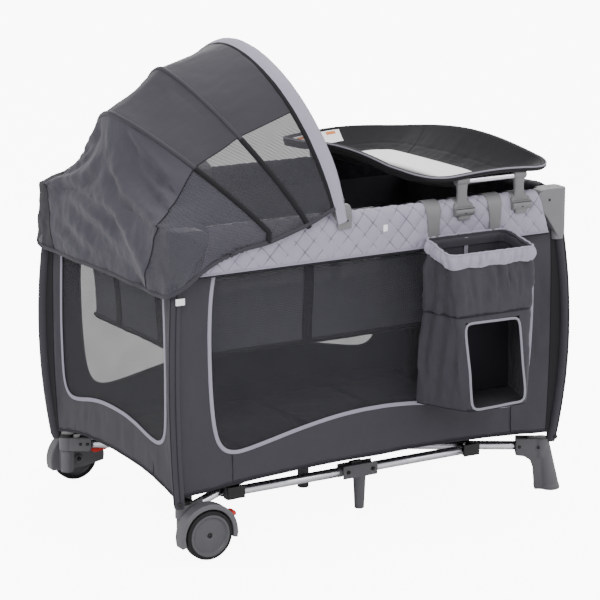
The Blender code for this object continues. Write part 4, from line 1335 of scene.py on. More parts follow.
def canopy_point(level, across, offset=0.0):
    """The cover with sag between the bows, drags and wrinkles."""
    p = taut_at(level, across)
    e = 0.004
    down = taut_at(min(3.99, level + e), across) - taut_at(max(0.0, level - e), across)
    over = taut_at(level, min(1, across + e)) - taut_at(level, max(-1, across - e))
    normal = down.cross(over)
    normal = normal.normalized() if normal.length > 1e-12 else vec(0, 0, 1)
    if normal.dot(vec(p.x + 0.30, p.y, p.z - 0.70)) < 0:
        normal = -normal
    i, t = key_of(level)
    sag = (0.0030, 0.0040, 0.0060, 0.0)[i] * sin(pi * t)
    sag *= 1 - smooth01((abs(across) - 0.60) / 0.25)
    fold = 0.0
    if level > 1.2:
        cut = cut_at(level)
        for side in (1, -1):
            for line, width, depth in DRAGS:
                # drags that start past the middle are made from the front side only
                if side > 0 or line[0][1] >= 0:
                    fold += drag_height(level, -side * across / cut, line, width, depth)
        late = smooth01((level - 1.9) / 0.7)
        fold += (0.0050 * late * fbm((across * 1.6 + 3, level * 0.7, 1.0), 2.0, 5.0)
                 + 0.0020 * late * fbm((across * 3.0, level * 1.4, 2.0), 3.0, 6.0))
        middle = smooth01((level - 1.05) / 0.3) * smooth01((2.0 - level) / 0.3)
        fold += middle * 0.0020 * sin(across * 9 + level * 3.0)
    fold += 0.0012 * fbm(p, 9.0, 4.0)
    fold += 0.0008 * fbm((p.x * 1.0, p.y * 2.4, p.z * 1.2), 17.0, 2.0)
    # gathers along the side hem
    edge = smooth01((abs(across) - 0.90) / 0.10) * smooth01((level - 2.3) / 0.9)
    fold += edge * 0.0022 * sin(level * 34 + 2 * sin(level * 9))
    near_bow = min(abs(level - k) for k in (0.0, 1.0, 2.0))
    fold *= smooth01(near_bow / 0.10) * 0.8 + 0.2
    return p + normal * (fold - sag + offset)


def canopy_blend(ob):
    """Bakes the piece's placement into its mesh."""
    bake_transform(ob)


# ------------------------------------------------------------------ canopy cloth


def canopy_cloth():
    parts = Parts()
    last = 3.994
    # the crown, from the front bow to the rear bow, takes the darker slate copy: painted shade
    for first, end, rows, mat in ((0.0, 2.0, 70, "slate_dark"), (2.0, last, 110, "slate")):
        def cover(i, j):
            level = lerp(first, end, i / (rows - 1))
            return canopy_point(level, (2 * j / 109 - 1) * cut_at(level))

        parts.sheet(rows, 110, cover, mat)
    for side in (-1, 1):
        # seam along the netting
        parts.tube([canopy_point(0.02 + 3.96 * i / 90, side * cut_at(4 * i / 90), 0.0010)
                    for i in range(91)], "charcoal_dark", 0.0011, count=6)
        # the far side's lower netting is the darker, denser copy: painted shade
        lower = "net_far" if side > 0 else "net_skirt"
        for first, end, mat in ((0.0, 2.05, "net_light"), (2.05, last, lower)):
            def netting(i, j):
                level = lerp(first, end, i / 69)
                across = side * lerp(cut_at(level) - 0.004, 0.998, j / 25)
                return canopy_point(level, across, -0.0006)

            parts.sheet(70, 26, netting, mat, 0, flip=side > 0)
    ob = parts.make("canopy_cloth", sharp=70)
    canopy_blend(ob)
    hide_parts("canopy_cover")


def canopy_hem():
    """Gathered binding along both sides and round the back."""
    line = [canopy_point(lerp(0.04, 3.99, i / 120), -0.995, 0.0026) for i in range(121)]
    line += [canopy_point(3.99, -0.995 + 1.99 * i / 150, 0.0008) for i in range(1, 151)]
    line += [canopy_point(lerp(3.99, 0.04, i / 120), 0.995, 0.0026) for i in range(1, 121)]
    for _ in range(6):
        line = ([line[0]] + [(a + b * 2 + c) / 4 for a, b, c in zip(line, line[1:], line[2:])]
                + [line[-1]])
    gathered = [p + vec(0, 0, 0.0012 * sin(run * 420) * (1 if p.x < -0.36 else 0.15))
                for p, run in zip(line, lengths_along(line))]
    tangents = path_frames(gathered)[0]
    sides = []
    for p, tangent in zip(gathered, tangents):
        if p.x < -0.5:
            out = vec((p.x + 0.50) * 14, p.y * 1.2 if abs(p.y) > 0.25 else 0, 0)
        else:
            out = vec(0, copysign(1, p.y), 0)
        out = out - tangent * out.dot(tangent)
        sides.append(out.normalized() if out.length > 1e-6 else vec(0, 0, 1))
    parts = Parts().tube(gathered, "charcoal", 0.0024, 0.0048, count=10, square=0.8,
                         path=(tangents, sides))
    ob = parts.make("canopy_hem", sharp=60)
    canopy_blend(ob)


BAND_FORWARD = vec(0.378, 0, 0.118).normalized()    # across the front bow, to the open side


def canopy_front_band():
    """Wide band over the front bow, and the bare hoop behind it."""
    front = even(bow_line(FRONT_BOW, 0.0, 400), 200)

    def band(i, j):
        p = front[i]
        tangent = (front[min(200, i + 1)] - front[max(0, i - 1)]).normalized()
        out = tangent.cross(BAND_FORWARD)
        if out.dot(vec(0, p.y, p.z - 0.75)) < 0:
            out = -out
        share = j / 13
        width = lerp(0.026, 0.033, smooth01(min(i, 200 - i) / 26))
        x = share * width - 0.002
        crown = 0.0085 + 0.0030 * sin(pi * share) + 0.0008 * fbm(p + BAND_FORWARD * x * 3, 26)
        crown -= 0.010 * max(0, share - 0.72) ** 2 * 6
        return p + BAND_FORWARD * x + out * crown

    parts = Parts()
    parts.sheet(201, 14, band, "lavender", 0.0030)
    parts.tube([band(i, 0) + (band(i, 0) - band(i, 2)) * 0.2
                for i in range(201) if front[i].z > 0.772], "charcoal_dark", 0.0018, count=6)
    parts.tube([band(i, 13) for i in range(201)], "binding", 0.0022)
    ob = parts.make("canopy_front_band", sharp=60)
    register(ob, "canopy_bow_front", "canopy_bow_front")
    hoop = [p - BAND_FORWARD * 0.005
            for p, bare in zip(bow_line(FRONT_BOW, 0.004, 400), bow_line(FRONT_BOW, 0.0, 400))
            if bare.z > 0.770]
    parts = Parts().tube(even(hoop, 120), "strap", 0.0062, count=14)
    register(parts.make("canopy_front_hoop"), "canopy_bow_front")


def canopy_sleeve(name, key, foot_z):
    """Cloth sleeve over a bow, with bare webbing below the cut."""
    node = "canopy_bow_" + name
    line = [p for p in bow_line(BOWS[node], 0.0068) if p.z > foot_z - 0.004]
    if name == "rear":
        line = [vec(-0.3015, -0.3560, 0.7105)] + line + [vec(-0.3015, 0.3560, 0.7105)]
    line = even(line, 180)
    cut = CUTS[key]
    first = int(90 - 90 * cut)
    parts = Parts()
    # the sleeve over the bow takes the darker slate copy: painted shade
    parts.tube(line[first:181 - first], "slate_dark", 0.0060, count=14)
    for leg in (line[:first + 1], line[180 - first:]):
        parts.tube(leg, "strap", 0.0066, count=14)
    # stitching beside the sleeve
    for shift in (-0.030, 0.030):
        parts.tube([canopy_point(key + shift, cut * (-1 + 2 * i / 120), 0.0012)
                    for i in range(121)], "charcoal_dark", 0.0009, count=5)
    ob = parts.make("canopy_hoop_sleeve_" + name)
    canopy_blend(ob)
    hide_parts(node)


canopy_cloth()
canopy_hem()
canopy_front_band()
canopy_sleeve("middle", 1, 0.738)
canopy_sleeve("rear", 2, 0.712)

# clips over the rails, as (|y|, z): the hook and the tongue standing on it
CLIP_X = -0.103
CLIP_HOOK = [(0.3005, 0.712), (0.3045, 0.708), (0.3060, 0.7560), (0.3400, 0.7560),
             (0.3490, 0.7500), (0.3500, 0.722), (0.3545, 0.720), (0.3560, 0.752),
             (0.3540, 0.766), (0.3440, 0.7740), (0.3330, 0.7745), (0.3080, 0.7640),
             (0.3010, 0.7560)]
CLIP_TONGUE = [(0.3330, 0.7420), (0.3560, 0.7420), (0.3560, 0.7900), (0.3460, 0.7980),
               (0.3380, 0.7960), (0.3330, 0.7800)]
for face, sign in FACES:
    solids = [prism(CLIP_HOOK, CLIP_X - 0.017, CLIP_X + 0.019, yz_plane(sign)),
              prism(CLIP_TONGUE, -0.124, -0.104, yz_plane(sign))]
    ob = moulded("canopy_latch_" + face, solids, "hook", 0.0014, 6)
    register(ob, "canopy_base", "canopy_clip_" + face)
    slot = box((-0.110, sign * 0.3555, 0.738), (-0.094, sign * 0.3574, 0.741))
    ob = Parts().add(slot, "blackp").make("canopy_latch_slot_" + face)
    register(ob, "canopy_base")

# ------------------------------------------------------------------ mattress
BED_X, BED_Y, BED_BOTTOM, BED_TOP = 0.466, 0.276, 0.1312, 0.1620
BED_NX, BED_NY = 150, 80


def to_edge(x, y, half_x, half_y):
    """Distance inwards from the nearest edge of a centred rectangle."""
    return min(x + half_x, half_x - x, y + half_y, half_y - y)


def mattress():
    def place(i, j):
        return (lerp(-BED_X, BED_X, i / (BED_NX - 1)), lerp(-BED_Y, BED_Y, j / (BED_NY - 1)))

    def top(i, j):
        x, y = place(i, j)
        inward = min(1.0, to_edge(x, y, BED_X, BED_Y) / 0.030)
        z = BED_TOP - 0.008 * (1 - sqrt(max(0.0, 1 - (1 - max(0, inward)) ** 2)))
        for fold_x in (-0.233, 0.0, 0.233):
            z -= 0.0060 * ridge(x - fold_x, 0.006)
        z += 0.0018 * fbm((x, y, 0), 9.0) + 0.0010 * fbm((x * 2.5, y, 1), 19.0)
        return vec(x, y, z)

    def bottom(i, j):
        x, y = place(i, j)
        lift = 0.0190 * (1 - smooth01(to_edge(x, y, BED_X, BED_Y) / 0.13))
        return vec(x, y, BED_BOTTOM + lift)

    top_verts, top_faces = grid(BED_NX, BED_NY, top)
    low_verts, low_faces = grid(BED_NX, BED_NY, bottom, flip=True)
    total = len(top_verts)
    rim = [(i, 0) for i in range(BED_NX)] + [(BED_NX - 1, j) for j in range(1, BED_NY)]
    rim += [(i, BED_NY - 1) for i in range(BED_NX - 2, -1, -1)]
    rim += [(0, j) for j in range(BED_NY - 2, 0, -1)]
    ids = [i * BED_NY + j for i, j in rim]
    faces = top_faces + [tuple(i + total for i in f) for f in low_faces]
    faces += [(total + a, total + b, b, a) for a, b in zip(ids, ids[1:] + ids[:1])]
    parts = Parts().add((top_verts + low_verts, faces), "black")
    # webbing round the edge
    edge_x, edge_y, z = BED_X - 0.001, BED_Y - 0.001, 0.1525
    for a, b, steps in (((-BED_X, -edge_y), (BED_X, -edge_y), 60),
                        ((-edge_x, -BED_Y), (-edge_x, BED_Y), 40),
                        ((edge_x, -BED_Y), (edge_x, BED_Y), 40),
                        ((-BED_X, edge_y), (BED_X, edge_y), 60)):
        parts.tube([vec(lerp(a[0], b[0], i / steps), lerp(a[1], b[1], i / steps), z)
                    for i in range(steps + 1)], "strap", 0.0024)
    ob = parts.make("padded_floor", sharp=60)
    register(ob, "mattress", "mattress")
    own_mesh(ob)


mattress()

# ------------------------------------------------------------------ bassinet
BASS_X, BASS_Y = 0.452, 0.259
RING_COUNT = 240
RING = rounded_loop(-BASS_X, -BASS_Y, BASS_X, BASS_Y, 0.030, RING_COUNT, 12, from_front=True)
# top, bottom, material
BASS_BANDS = [(0.700, 0.622, "lining"), (0.622, 0.614, "net"), (0.614, 0.449, "net_dense"),
              # the lining bands carry painted fill light in their paler colour
              (0.449, 0.436, "lining")]


def flat_normal(loop, i):
    """Horizontal normal of a closed loop."""
    step = loop[(i + 1) % len(loop)] - loop[i - 1]
    return vec(step.y, -step.x, 0).normalized()


RING_NORMALS = [flat_normal(RING, i) for i in range(RING_COUNT)]


def bassinet_wall(i, z, offset=0.0):
    p = RING[i]
    inset = 0.010 * smooth01((0.62 - z) / 0.16)
    wave = 0.0026 * fbm((p.x * 1.3, p.y * 1.3, z * 0.7), 11.0) * smooth01((0.69 - z) / 0.1)
    return vec(p.x, p.y, z) + RING_NORMALS[i] * (offset + wave - inset)


parts = Parts()
for high, low, mat in BASS_BANDS:
    rows = max(3, int((high - low) / 0.010))
    parts.sheet(RING_COUNT, rows,
                lambda i, j: bassinet_wall(i, lerp(high, low, j / (rows - 1))),
                mat, 0 if mat.startswith("net") else 0.0020, closed_u=True)
# straps down the walls: place, outward direction
STRAPS = [((x, side * BASS_Y), (0, side, 0)) for x in (-0.138, 0.245) for side in (-1, 1)]
STRAPS += [((side * BASS_X, y), (side, 0, 0)) for y in (-0.105, 0.105) for side in (-1, 1)]
for place, outward in STRAPS:
    at = nearest(RING, *place)
    parts.tube([bassinet_wall(at, lerp(0.690, 0.440, k / 20), 0.0016) for k in range(21)],
               "strap", 0.0010, 0.0135, count=10, hint=outward, square=0.5)
parts.tube([bassinet_wall(i, 0.440, 0.0010) for i in range(RING_COUNT)], "strap", 0.0022,
           closed=True)
ob = parts.make("bassinet_walls", sharp=60)
register(ob, "bassinet", "bassinet")
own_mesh(ob)


def bassinet_floor(i, j):
    x = lerp(-BASS_X + 0.011, BASS_X - 0.011, i / 119)
    y = lerp(-BASS_Y + 0.011, BASS_Y - 0.011, j / 69)
    inward = min(1.0, to_edge(x, y, BASS_X, BASS_Y) / 0.06)
    z = 0.441 - 0.010 * inward + 0.004 * fbm((x, y * 1.2, 0), 8.0)
    for fold_x in (-0.226, 0.0, 0.226):
        z += 0.006 * ridge(x - fold_x, 0.010)
    return vec(x, y, z)


# the bassinet floor uses the paler lining: painted fill light
ob = Parts().sheet(120, 70, bassinet_floor, "lining", 0.006).make("bassinet_floor", sharp=60)
register(ob, "bassinet")
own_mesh(ob)

# ------------------------------------------------------------------ changer tray
TRAY_X0, TRAY_X1, TRAY_Y0, TRAY_Y1 = 0.115, 0.495, -0.352, 0.345
TRAY_MID = vec((TRAY_X0 + TRAY_X1) / 2, (TRAY_Y0 + TRAY_Y1) / 2, 0)
LOOP_COUNT = 260
SLING_ROWS, SLING_Z = 34, 0.7665
SKIRT_ROWS = 5


def rim_point(x, y):
    """The rim arches over the middle and lifts at its two ends."""
    end = smooth01((abs(y) - 0.27) / 0.06)
    middle = sin(pi * max(0.0, min(1.0, (x - 0.150) / 0.345))) ** 1.5
    side = smooth01((0.30 - x) / 0.10) * smooth01((0.30 - abs(y)) / 0.12)
    arch = max(0.0, cos(pi * y / 0.70)) ** 1.2
    return vec(x, y, 0.806 + 0.035 * arch + 0.009 * end * middle - 0.009 * side)


LOOP = [rim_point(p.x, p.y) for p in
        rounded_loop(TRAY_X0 + 0.002, TRAY_Y0 + 0.002, TRAY_X1 - 0.002, TRAY_Y1 - 0.002, 0.085,
                     LOOP_COUNT)]
BOTTOM = rounded_loop(0.262, -0.225, 0.378, 0.225, 0.045, LOOP_COUNT)


def skirt(i, j):
    """Cloth rolled under the rim."""
    p, t = LOOP[i], SKIRT_ROWS - 1
    out = vec(p.x - TRAY_MID.x, (p.y - TRAY_MID.y) * 0.6, 0).normalized()
    drop = 0.010 * smooth01((p.y + 0.33) / 0.05)
    return p + out * (0.0070 - 0.0045 * j / t) + vec(
        0, 0, -0.002 - (0.003 + drop) * j / t + 0.0012 * fbm(p, 20))


def sling(i, j):
    """Hanging cloth, from the rim (j = 0) in to the flat bottom."""
    p, q = LOOP[i], BOTTOM[i]
    t = j / (SLING_ROWS - 1)
    x, y = lerp(p.x, q.x, t), lerp(p.y, q.y, t)
    z = lerp(p.z + 0.003, SLING_Z, 1 - (1 - t) ** 2.1)
    z += 0.0022 * fbm((x, y, 0), 14.0) * sin(pi * t)
    z -= 0.0022 * ridge(t - 0.44, 0.018)            # sewn channel
    inward = vec(TRAY_MID.x - p.x, TRAY_MID.y - p.y, 0).normalized()
    return vec(x, y, z) + inward * (0.006 * (1 - t))


def sling_floor(i, j):
    a, t = BOTTOM[i], j / 7
    spine_y = lerp(-0.16, 0.16, (a.y + 0.225) / 0.45)
    return vec(lerp(a.x, 0.320, t), lerp(a.y, spine_y, t), SLING_Z - 0.0012 * sin(pi * t * 0.5))


parts = Parts()
parts.tube(LOOP, "black", 0.0070, count=16, closed=True)
parts.tube([p + vec(0, 0, 0.0040) + vec(TRAY_MID.x - p.x, -p.y * 0.6, 0).normalized() * -0.0062
            for p in LOOP], "piping", 0.0021, closed=True)
parts.sheet(LOOP_COUNT, SKIRT_ROWS, skirt, "black", 0.0016, closed_u=True)
register(parts.make("changer_rim", sharp=60), "changer", "changer_frame")

parts = Parts()
parts.sheet(LOOP_COUNT, SLING_ROWS, sling, "black", 0.0040, closed_u=True)
parts.sheet(LOOP_COUNT, 8, sling_floor, "black", 0.0040, closed_u=True)
# seams down the two side walls near the back
for x in (TRAY_X0, TRAY_X1):
    at = nearest(LOOP, x, 0.215)
    parts.tube([sling(at, (SLING_ROWS - 1) * k / 24) + vec(0, 0, 0.0024) for k in range(25)],
               "charcoal_dark", 0.0011, count=6)
register(parts.make("changer_sling", sharp=60), "changer", "changer_pad")

# striped patch inside the back wall: first and last loop step, first and last row, lift
patch_at = nearest(LOOP, 0.218, TRAY_Y1)
PATCHES = [(-11, 11, 1.5, 11.0, 0.0040, "white", 0.0008),
           (-9, -5, 2.5, 4.5, 0.0050, "orange", 0.0006),
           (-3, 9, 2.5, 4.0, 0.0050, "orange", 0.0006)]
parts = Parts()
for first, last, row0, row1, lift, mat, thickness in PATCHES:
    def patch(i, j):
        at = int(round(lerp(patch_at + first, patch_at + last, i / 11)))
        row = lerp(row0, row1, j / 7)
        k = int(row)
        return sling(at, k).lerp(sling(at, k + 1), row - k) + vec(0.0010, 0, lift)

    parts.sheet(12, 8, patch, mat, thickness)
register(parts.make("changer_care_patch"), "changer")

# white pad: a thin slab blown up so that it crowns between its edges
slab = [(p.x, p.y) for p in rounded_loop(0.262, -0.215, 0.378, 0.215, 0.030, 120)]
ob = inflated("changer_white_pad", prism(slab, 0.7722, 0.7782, Matrix.Identity(4)), "white_pad",
              voxel=0.003, pressure=4.0, cap=0.0045, frames=14)
register(ob, "changer")

# ------------------------------------------------------------------ changer supports
SUPPORTS = (("left", 0.2240), ("right", 0.3860))
FRONT_SECTION = yz_plane(-1)


def hugging(z_front, z_back, inner, outer):
    """Outline of a strap over the long rail cover, between two offsets from it.

    It reaches down to z_front on the outside and to z_back on the inside.
    """
    kept = [(p, n) for p, n in zip(LONG_WALL.curve, LONG_WALL.normals)
            if p.y > (z_back if p.x < 0.324 else z_front)]
    return ([(p.x + n.x * inner, p.y + n.y * inner) for p, n in kept]
            + [(p.x + n.x * outer, p.y + n.y * outer) for p, n in reversed(kept)])


def column(x, widths, y, half_y, z0, z1):
    """Upright with a rounded section; widths is (z, half width)."""
    rows, count = 23, 20
    verts = []
    for i in range(rows):
        z = lerp(z0, z1, i / (rows - 1))
        width = interp(widths, z)
        for j in range(count):
            angle = 2 * pi * j / count
            verts.append(vec(x + signed_power(cos(angle), 0.55) * width,
                             y + signed_power(sin(angle), 0.55) * half_y, z))
    return verts, tube_faces(rows, count)


low_x, high_x = SUPPORTS[0][1] - 0.004, SUPPORTS[1][1] + 0.004
parts = Parts().tube([vec(lerp(low_x, high_x, i / 20), -0.3405, 0.7975) for i in range(21)],
                     "silver", 0.0080, count=24)
register(parts.make("changer_cross_tube"), "changer")
UPRIGHT = [(0.736, 0.0195), (0.744, 0.0172), (0.756, 0.0140), (0.772, 0.0130), (0.786, 0.0145),
           (0.800, 0.0172), (0.812, 0.0180)]
for side, x in SUPPORTS:
    solids = [column(x, UPRIGHT, -0.3415, 0.0066, 0.738, 0.806),
              cylinder((x - 0.0172, -0.3405, 0.7985), (x + 0.0172, -0.3405, 0.7985), 0.0108, 36)]
    ob = moulded("changer_upright_" + side, solids, "hook", 0.0013, 4)
    register(ob, "changer")
    solids = [prism(hugging(0.724, 0.706, 0.0016, 0.0046), x - 0.0215, x + 0.0215, FRONT_SECTION),
              cylinder((x - 0.0266, -0.3490, 0.7275), (x + 0.0266, -0.3490, 0.7275), 0.0112, 40),
              column(x, [(0.706, 0.0165), (0.722, 0.0180)], -0.3515, 0.0040, 0.7080, 0.7240)]
    solids += [cylinder((x + k * 0.0212, -0.3440, 0.738), (x + k * 0.0262, -0.3440, 0.738),
                        0.0080, 30, 0.0074) for k in (-1, 1)]
    ob = moulded("changer_mount_" + side, solids, "hook", 0.0013, 4)
    register(ob, "changer_base", "changer_clamp_" + side)
    parts = Parts()
    parts.add(box((x - 0.0262, -0.3592, 0.7345), (x + 0.0262, -0.3550, 0.7353)), "blackp")
    parts.add(cylinder((x, -0.3590, 0.7245), (x, -0.3612, 0.7245), 0.0014, 14), "blackp")
    register(parts.make("changer_mount_slot_" + side), "changer_base")
parts = Parts()
for _, x in SUPPORTS:
    parts.tube([vec(x, lerp(0.326, 0.340, i / 8), lerp(0.7560, 0.806, i / 8)) for i in range(9)],
               "hook", 0.0080, count=20)
register(parts.make("changer_rear_rests"), "changer")

# ------------------------------------------------------------------ organizer hooks
HOOK_WIDTHS = [(0.655, 0.0150), (0.680, 0.0152), (0.700, 0.0160), (0.720, 0.0178),
               (0.738, 0.0206), (0.765, 0.0216)]       # z, half width


def shaped_hook(x):
    """Strap over the rail, sliced by height so that its width can follow the table."""
    verts, faces = prism(hugging(0.660, 0.706, 0.0024, 0.0056), x - 0.0235, x + 0.0235,
                         FRONT_SECTION)
    bm = bmesh.new()
    made = [bm.verts.new(p) for p in verts]
    for f in faces:
        bm.faces.new([made[i] for i in f])
    for k in range(22):
        bmesh.ops.bisect_plane(bm, geom=list(bm.verts) + list(bm.edges) + list(bm.faces),
                               plane_co=(0, 0, 0.668 + 0.0042 * k), plane_no=(0, 0, 1))
    for v in bm.verts:
        v.co.x = x + copysign(interp(HOOK_WIDTHS, v.co.z), v.co.x - x)
    bmesh.ops.triangulate(bm, faces=bm.faces)
    return from_bm(bm)


for side, x, node in (("left", 0.1410, "organizer_hooks"), ("right", 0.3130, None)):
    ob = moulded("organizer_hook_" + side, [shaped_hook(x)], "hook", 0.0013, 8)
    register(ob, "organizer", node)

# ------------------------------------------------------------------ organizer bag
# z, then (x, y) of the back left, front left, front right and back right corners
LEVELS = [
    (0.675, [(0.120, -0.358), (0.121, -0.455), (0.343, -0.458), (0.330, -0.358)]),
    (0.640, [(0.116, -0.357), (0.122, -0.458), (0.345, -0.460), (0.332, -0.357)]),
    (0.580, [(0.111, -0.356), (0.127, -0.462), (0.348, -0.462), (0.343, -0.356)]),
    (0.516, [(0.106, -0.355), (0.134, -0.466), (0.345, -0.465), (0.348, -0.355)]),
    (0.500, [(0.105, -0.355), (0.137, -0.467), (0.343, -0.466), (0.349, -0.355)]),
    (0.440, [(0.100, -0.354), (0.146, -0.475), (0.334, -0.472), (0.352, -0.354)]),
    (0.360, [(0.093, -0.353), (0.154, -0.485), (0.326, -0.482), (0.362, -0.353)]),
    (0.300, [(0.090, -0.352), (0.158, -0.491), (0.318, -0.489), (0.364, -0.352)]),
    (0.288, [(0.092, -0.352), (0.158, -0.490), (0.316, -0.488), (0.358, -0.352)]),
]
BAG_TOP, BAG_BOTTOM = LEVELS[0][0], LEVELS[-1][0]
BAG_COUNT, BAG_ROWS = 168, 64
# (x, z) corners of the front opening, and the line its binding follows
OPENING = [(0.152, 0.494), (0.304, 0.491), (0.309, 0.294), (0.162, 0.289)]
OPENING_EDGE = [(0.152, 0.492), (0.304, 0.490), (0.3095, 0.294), (0.1615, 0.291)]


def bag_corners(z):
    z = max(BAG_BOTTOM, min(BAG_TOP, z))
    for (high, upper), (low, lower) in zip(LEVELS, LEVELS[1:]):
        if z >= low:
            t = (high - z) / (high - low)
            return [vec(lerp(p[0], q[0], t), lerp(p[1], q[1], t), z)
                    for p, q in zip(upper, lower)]


def mouth_dip(p):
    """The mouth of the bag dips towards the front."""
    return -0.022 * smooth01((-0.36 - p.y) / 0.10)


def bag_ring(z):
    """(point, outward normal) round the bag at a height."""
    corners = bag_corners(z)
    points = []
    for k, p in enumerate(corners):
        a, b = corners[k - 1], corners[(k + 1) % 4]
        start = p + (a - p).normalized() * min(0.016, (a - p).length * 0.4)
        end = p + (b - p).normalized() * min(0.016, (b - p).length * 0.4)
        for m in range(9):
            t = m / 8
            points.append((1 - t) ** 2 * start + 2 * t * (1 - t) * p + t * t * end)
    points.append(points[0].copy())
    points = even(points, BAG_COUNT)[:BAG_COUNT]
    middle = sum(points, vec(0, 0, 0)) / BAG_COUNT
    out = []
    for i, p in enumerate(points):
        normal = flat_normal(points, i)
        out.append((p, -normal if normal.dot(p - middle) < 0 else normal))
    return out


def bag_face(p, z):
    corners = bag_corners(z)
    if p.y > -0.360:
        return "back"
    if p.y < max(corners[1].y, corners[2].y) + 0.012:
        return "front"
    return "left" if p.x < (corners[0].x + corners[2].x) / 2 else "right"


def gathers(turn):
    """Phase of the gathers round the mouth."""
    return turn * 24 + 1.6 * sin(turn * 7)


def bag_skin(i, row, offset=0.0):
    z = BAG_Z[row]
    p, normal = BAG_RINGS[row][i]
    face = bag_face(p, z)
    puff = 0.0
    if face != "back":
        puff += (0.0030 * fbm((p.x * 1.6, p.y * 1.6, z * 0.8), 15.0)
                 + 0.0012 * fbm((p.x * 3, p.y * 3, z), 30.0))
        if z < 0.5:
            puff += 0.0035 * sin(pi * (z - 0.29) / 0.21) * (0.3 if face == "front" else 1)
        if z > 0.51:
            puff += 0.0030 * sin(pi * (z - 0.51) / 0.16)
        if face == "left":
            puff += (0.0028 * sin(p.y * 170 + z * 14) * smooth01((0.66 - z) / 0.05)
                     * smooth01((z - 0.30) / 0.1))
        puff -= 0.0035 * ridge(z - 0.505, 0.006)
        if z > 0.51:
            turn = i / BAG_COUNT * 2 * pi
            puff += (0.0042 * sin(gathers(turn)) * smooth01((z - 0.515) / 0.10)
                     * smooth01((0.652 - z) / 0.02) * (0.6 + 0.8 * fbm((turn, 0, 3), 2.0)))
            puff += (0.0080 * fbm((turn * 1.2, z * 1.5, 7), 2.4) * smooth01((z - 0.515) / 0.05)
                     * smooth01((0.640 - z) / 0.03))
    q = p + normal * (puff + offset)
    q.z += mouth_dip(p) * smooth01((z - 0.50) / 0.15)
    return q


BAG_Z = [round(BAG_TOP - (BAG_TOP - BAG_BOTTOM) * k / BAG_ROWS, 4) for k in range(BAG_ROWS + 1)]
BAG_RINGS = [bag_ring(z) for z in BAG_Z]


def bag_shell():
    """The skin with its front opening left out."""
    verts = [bag_skin(i, row) for row in range(BAG_ROWS + 1) for i in range(BAG_COUNT)]
    (x0, z0), (x1, z1), (x2, z2), (x3, z3) = OPENING
    faces = []
    for row in range(BAG_ROWS):
        for i in range(BAG_COUNT):
            a, b = row * BAG_COUNT + i, row * BAG_COUNT + (i + 1) % BAG_COUNT
            c, d = b + BAG_COUNT, a + BAG_COUNT
            centre = (verts[a] + verts[c]) / 2
            z = (BAG_Z[row] + BAG_Z[row + 1]) / 2
            if centre.y < -0.455 and bag_face(BAG_RINGS[row][i][0], BAG_Z[row]) == "front":
                left, right = lerp(x0, x3, (z0 - z) / (z0 - z3)), lerp(x1, x2, (z1 - z) / (z1 - z2))
                if left < centre.x < right and 0.292 < z < 0.492:
                    continue
            faces.append((a, b, c, d))
    used = sorted({i for f in faces for i in f})
    remap = {old: new for new, old in enumerate(used)}
    return thicken([verts[i] for i in used], [tuple(remap[i] for i in f) for f in faces], 0.0022)


parts = Parts()
parts.add(bag_shell(), "charcoal")
# floor, and a shelf above the opening
for z in (0.290, 0.507):
    ring = bag_ring(z)
    centre = sum((p for p, _ in ring), vec(0, 0, 0)) / BAG_COUNT

    def shelf(i, j):
        q = ring[i][0].lerp(centre, j / 6 * 0.999)
        return vec(q.x, q.y, z + 0.0010 + 0.0012 * fbm(q, 20))

    parts.sheet(BAG_COUNT, 7, shelf, "charcoal_dark", 0.0030, closed_u=True)
# back wall of the lower compartment
parts.add(box((0.112, -0.3620, 0.294), (0.350, -0.3590, 0.500)), "charcoal_dark")
# seams
seam_row = round((BAG_TOP - 0.508) / (BAG_TOP - BAG_BOTTOM) * BAG_ROWS)
for row, offset, radius in ((seam_row, 0.0012, 0.0012), (BAG_ROWS, 0.0006, 0.0016)):
    parts.tube([bag_skin(i, row, offset) for i in range(BAG_COUNT)], "charcoal_dark", radius,
               count=6, closed=True)
# divider in the mouth
parts.tube([vec(0.226, -0.3600, lerp(0.668, 0.560, i / 10)) for i in range(11)], "piping",
           0.0010, 0.0055, hint=(0, -1, 0), square=0.6)
parts.sheet(10, 8, lambda i, j: vec(0.226 + 0.002 * sin(j), lerp(-0.358, -0.452, i / 9),
                                    lerp(0.612, 0.520, j / 7)), "strap", 0.0020)
register(parts.make("organizer_bag_shell", sharp=60), "organizer",
         "organizer_bag")

# gathered pale collar round the mouth
COLLAR_COUNT = 420
ring = bag_ring(0.660)
MOUTH = []
for i in range(COLLAR_COUNT):
    place = i / COLLAR_COUNT * BAG_COUNT
    k = int(place)
    (p, normal), (p2, normal2) = ring[k], ring[(k + 1) % BAG_COUNT]
    MOUTH.append((p.lerp(p2, place - k), normal.lerp(normal2, place - k).normalized()))


def collar(i, j):
    t = j / 13
    z = lerp(0.675, 0.643, t)
    p, normal = MOUTH[i]
    turn = i / COLLAR_COUNT * 2 * pi
    puff = 0.0040 * sin(pi * t) + 0.0068 - 0.0012 * t
    gather = sin(gathers(turn) + 2.0 * t * sin(turn * 5)) + 0.5 * sin(turn * 43 + 2 + 3 * t)
    ripple = 0.0030 * gather * sin(pi * min(1, 0.12 + t * 0.8)) + 0.0016 * fbm((p.x, p.y, z), 40)
    q = p + normal * (puff + ripple)
    q.z = z + mouth_dip(p) + 0.0016 * sin(turn * 9 + 1) * t
    return q


def collar_lining(i, j):
    t = j / 5
    p, normal = MOUTH[i]
    q = collar(i, 0)
    share = min(1, t * 3)
    return vec(lerp(q.x, p.x - normal.x * 0.0035, share), lerp(q.y, p.y - normal.y * 0.0035, share),
               q.z + 0.0012 * sin(pi * min(1, t * 2)) - 0.026 * t)


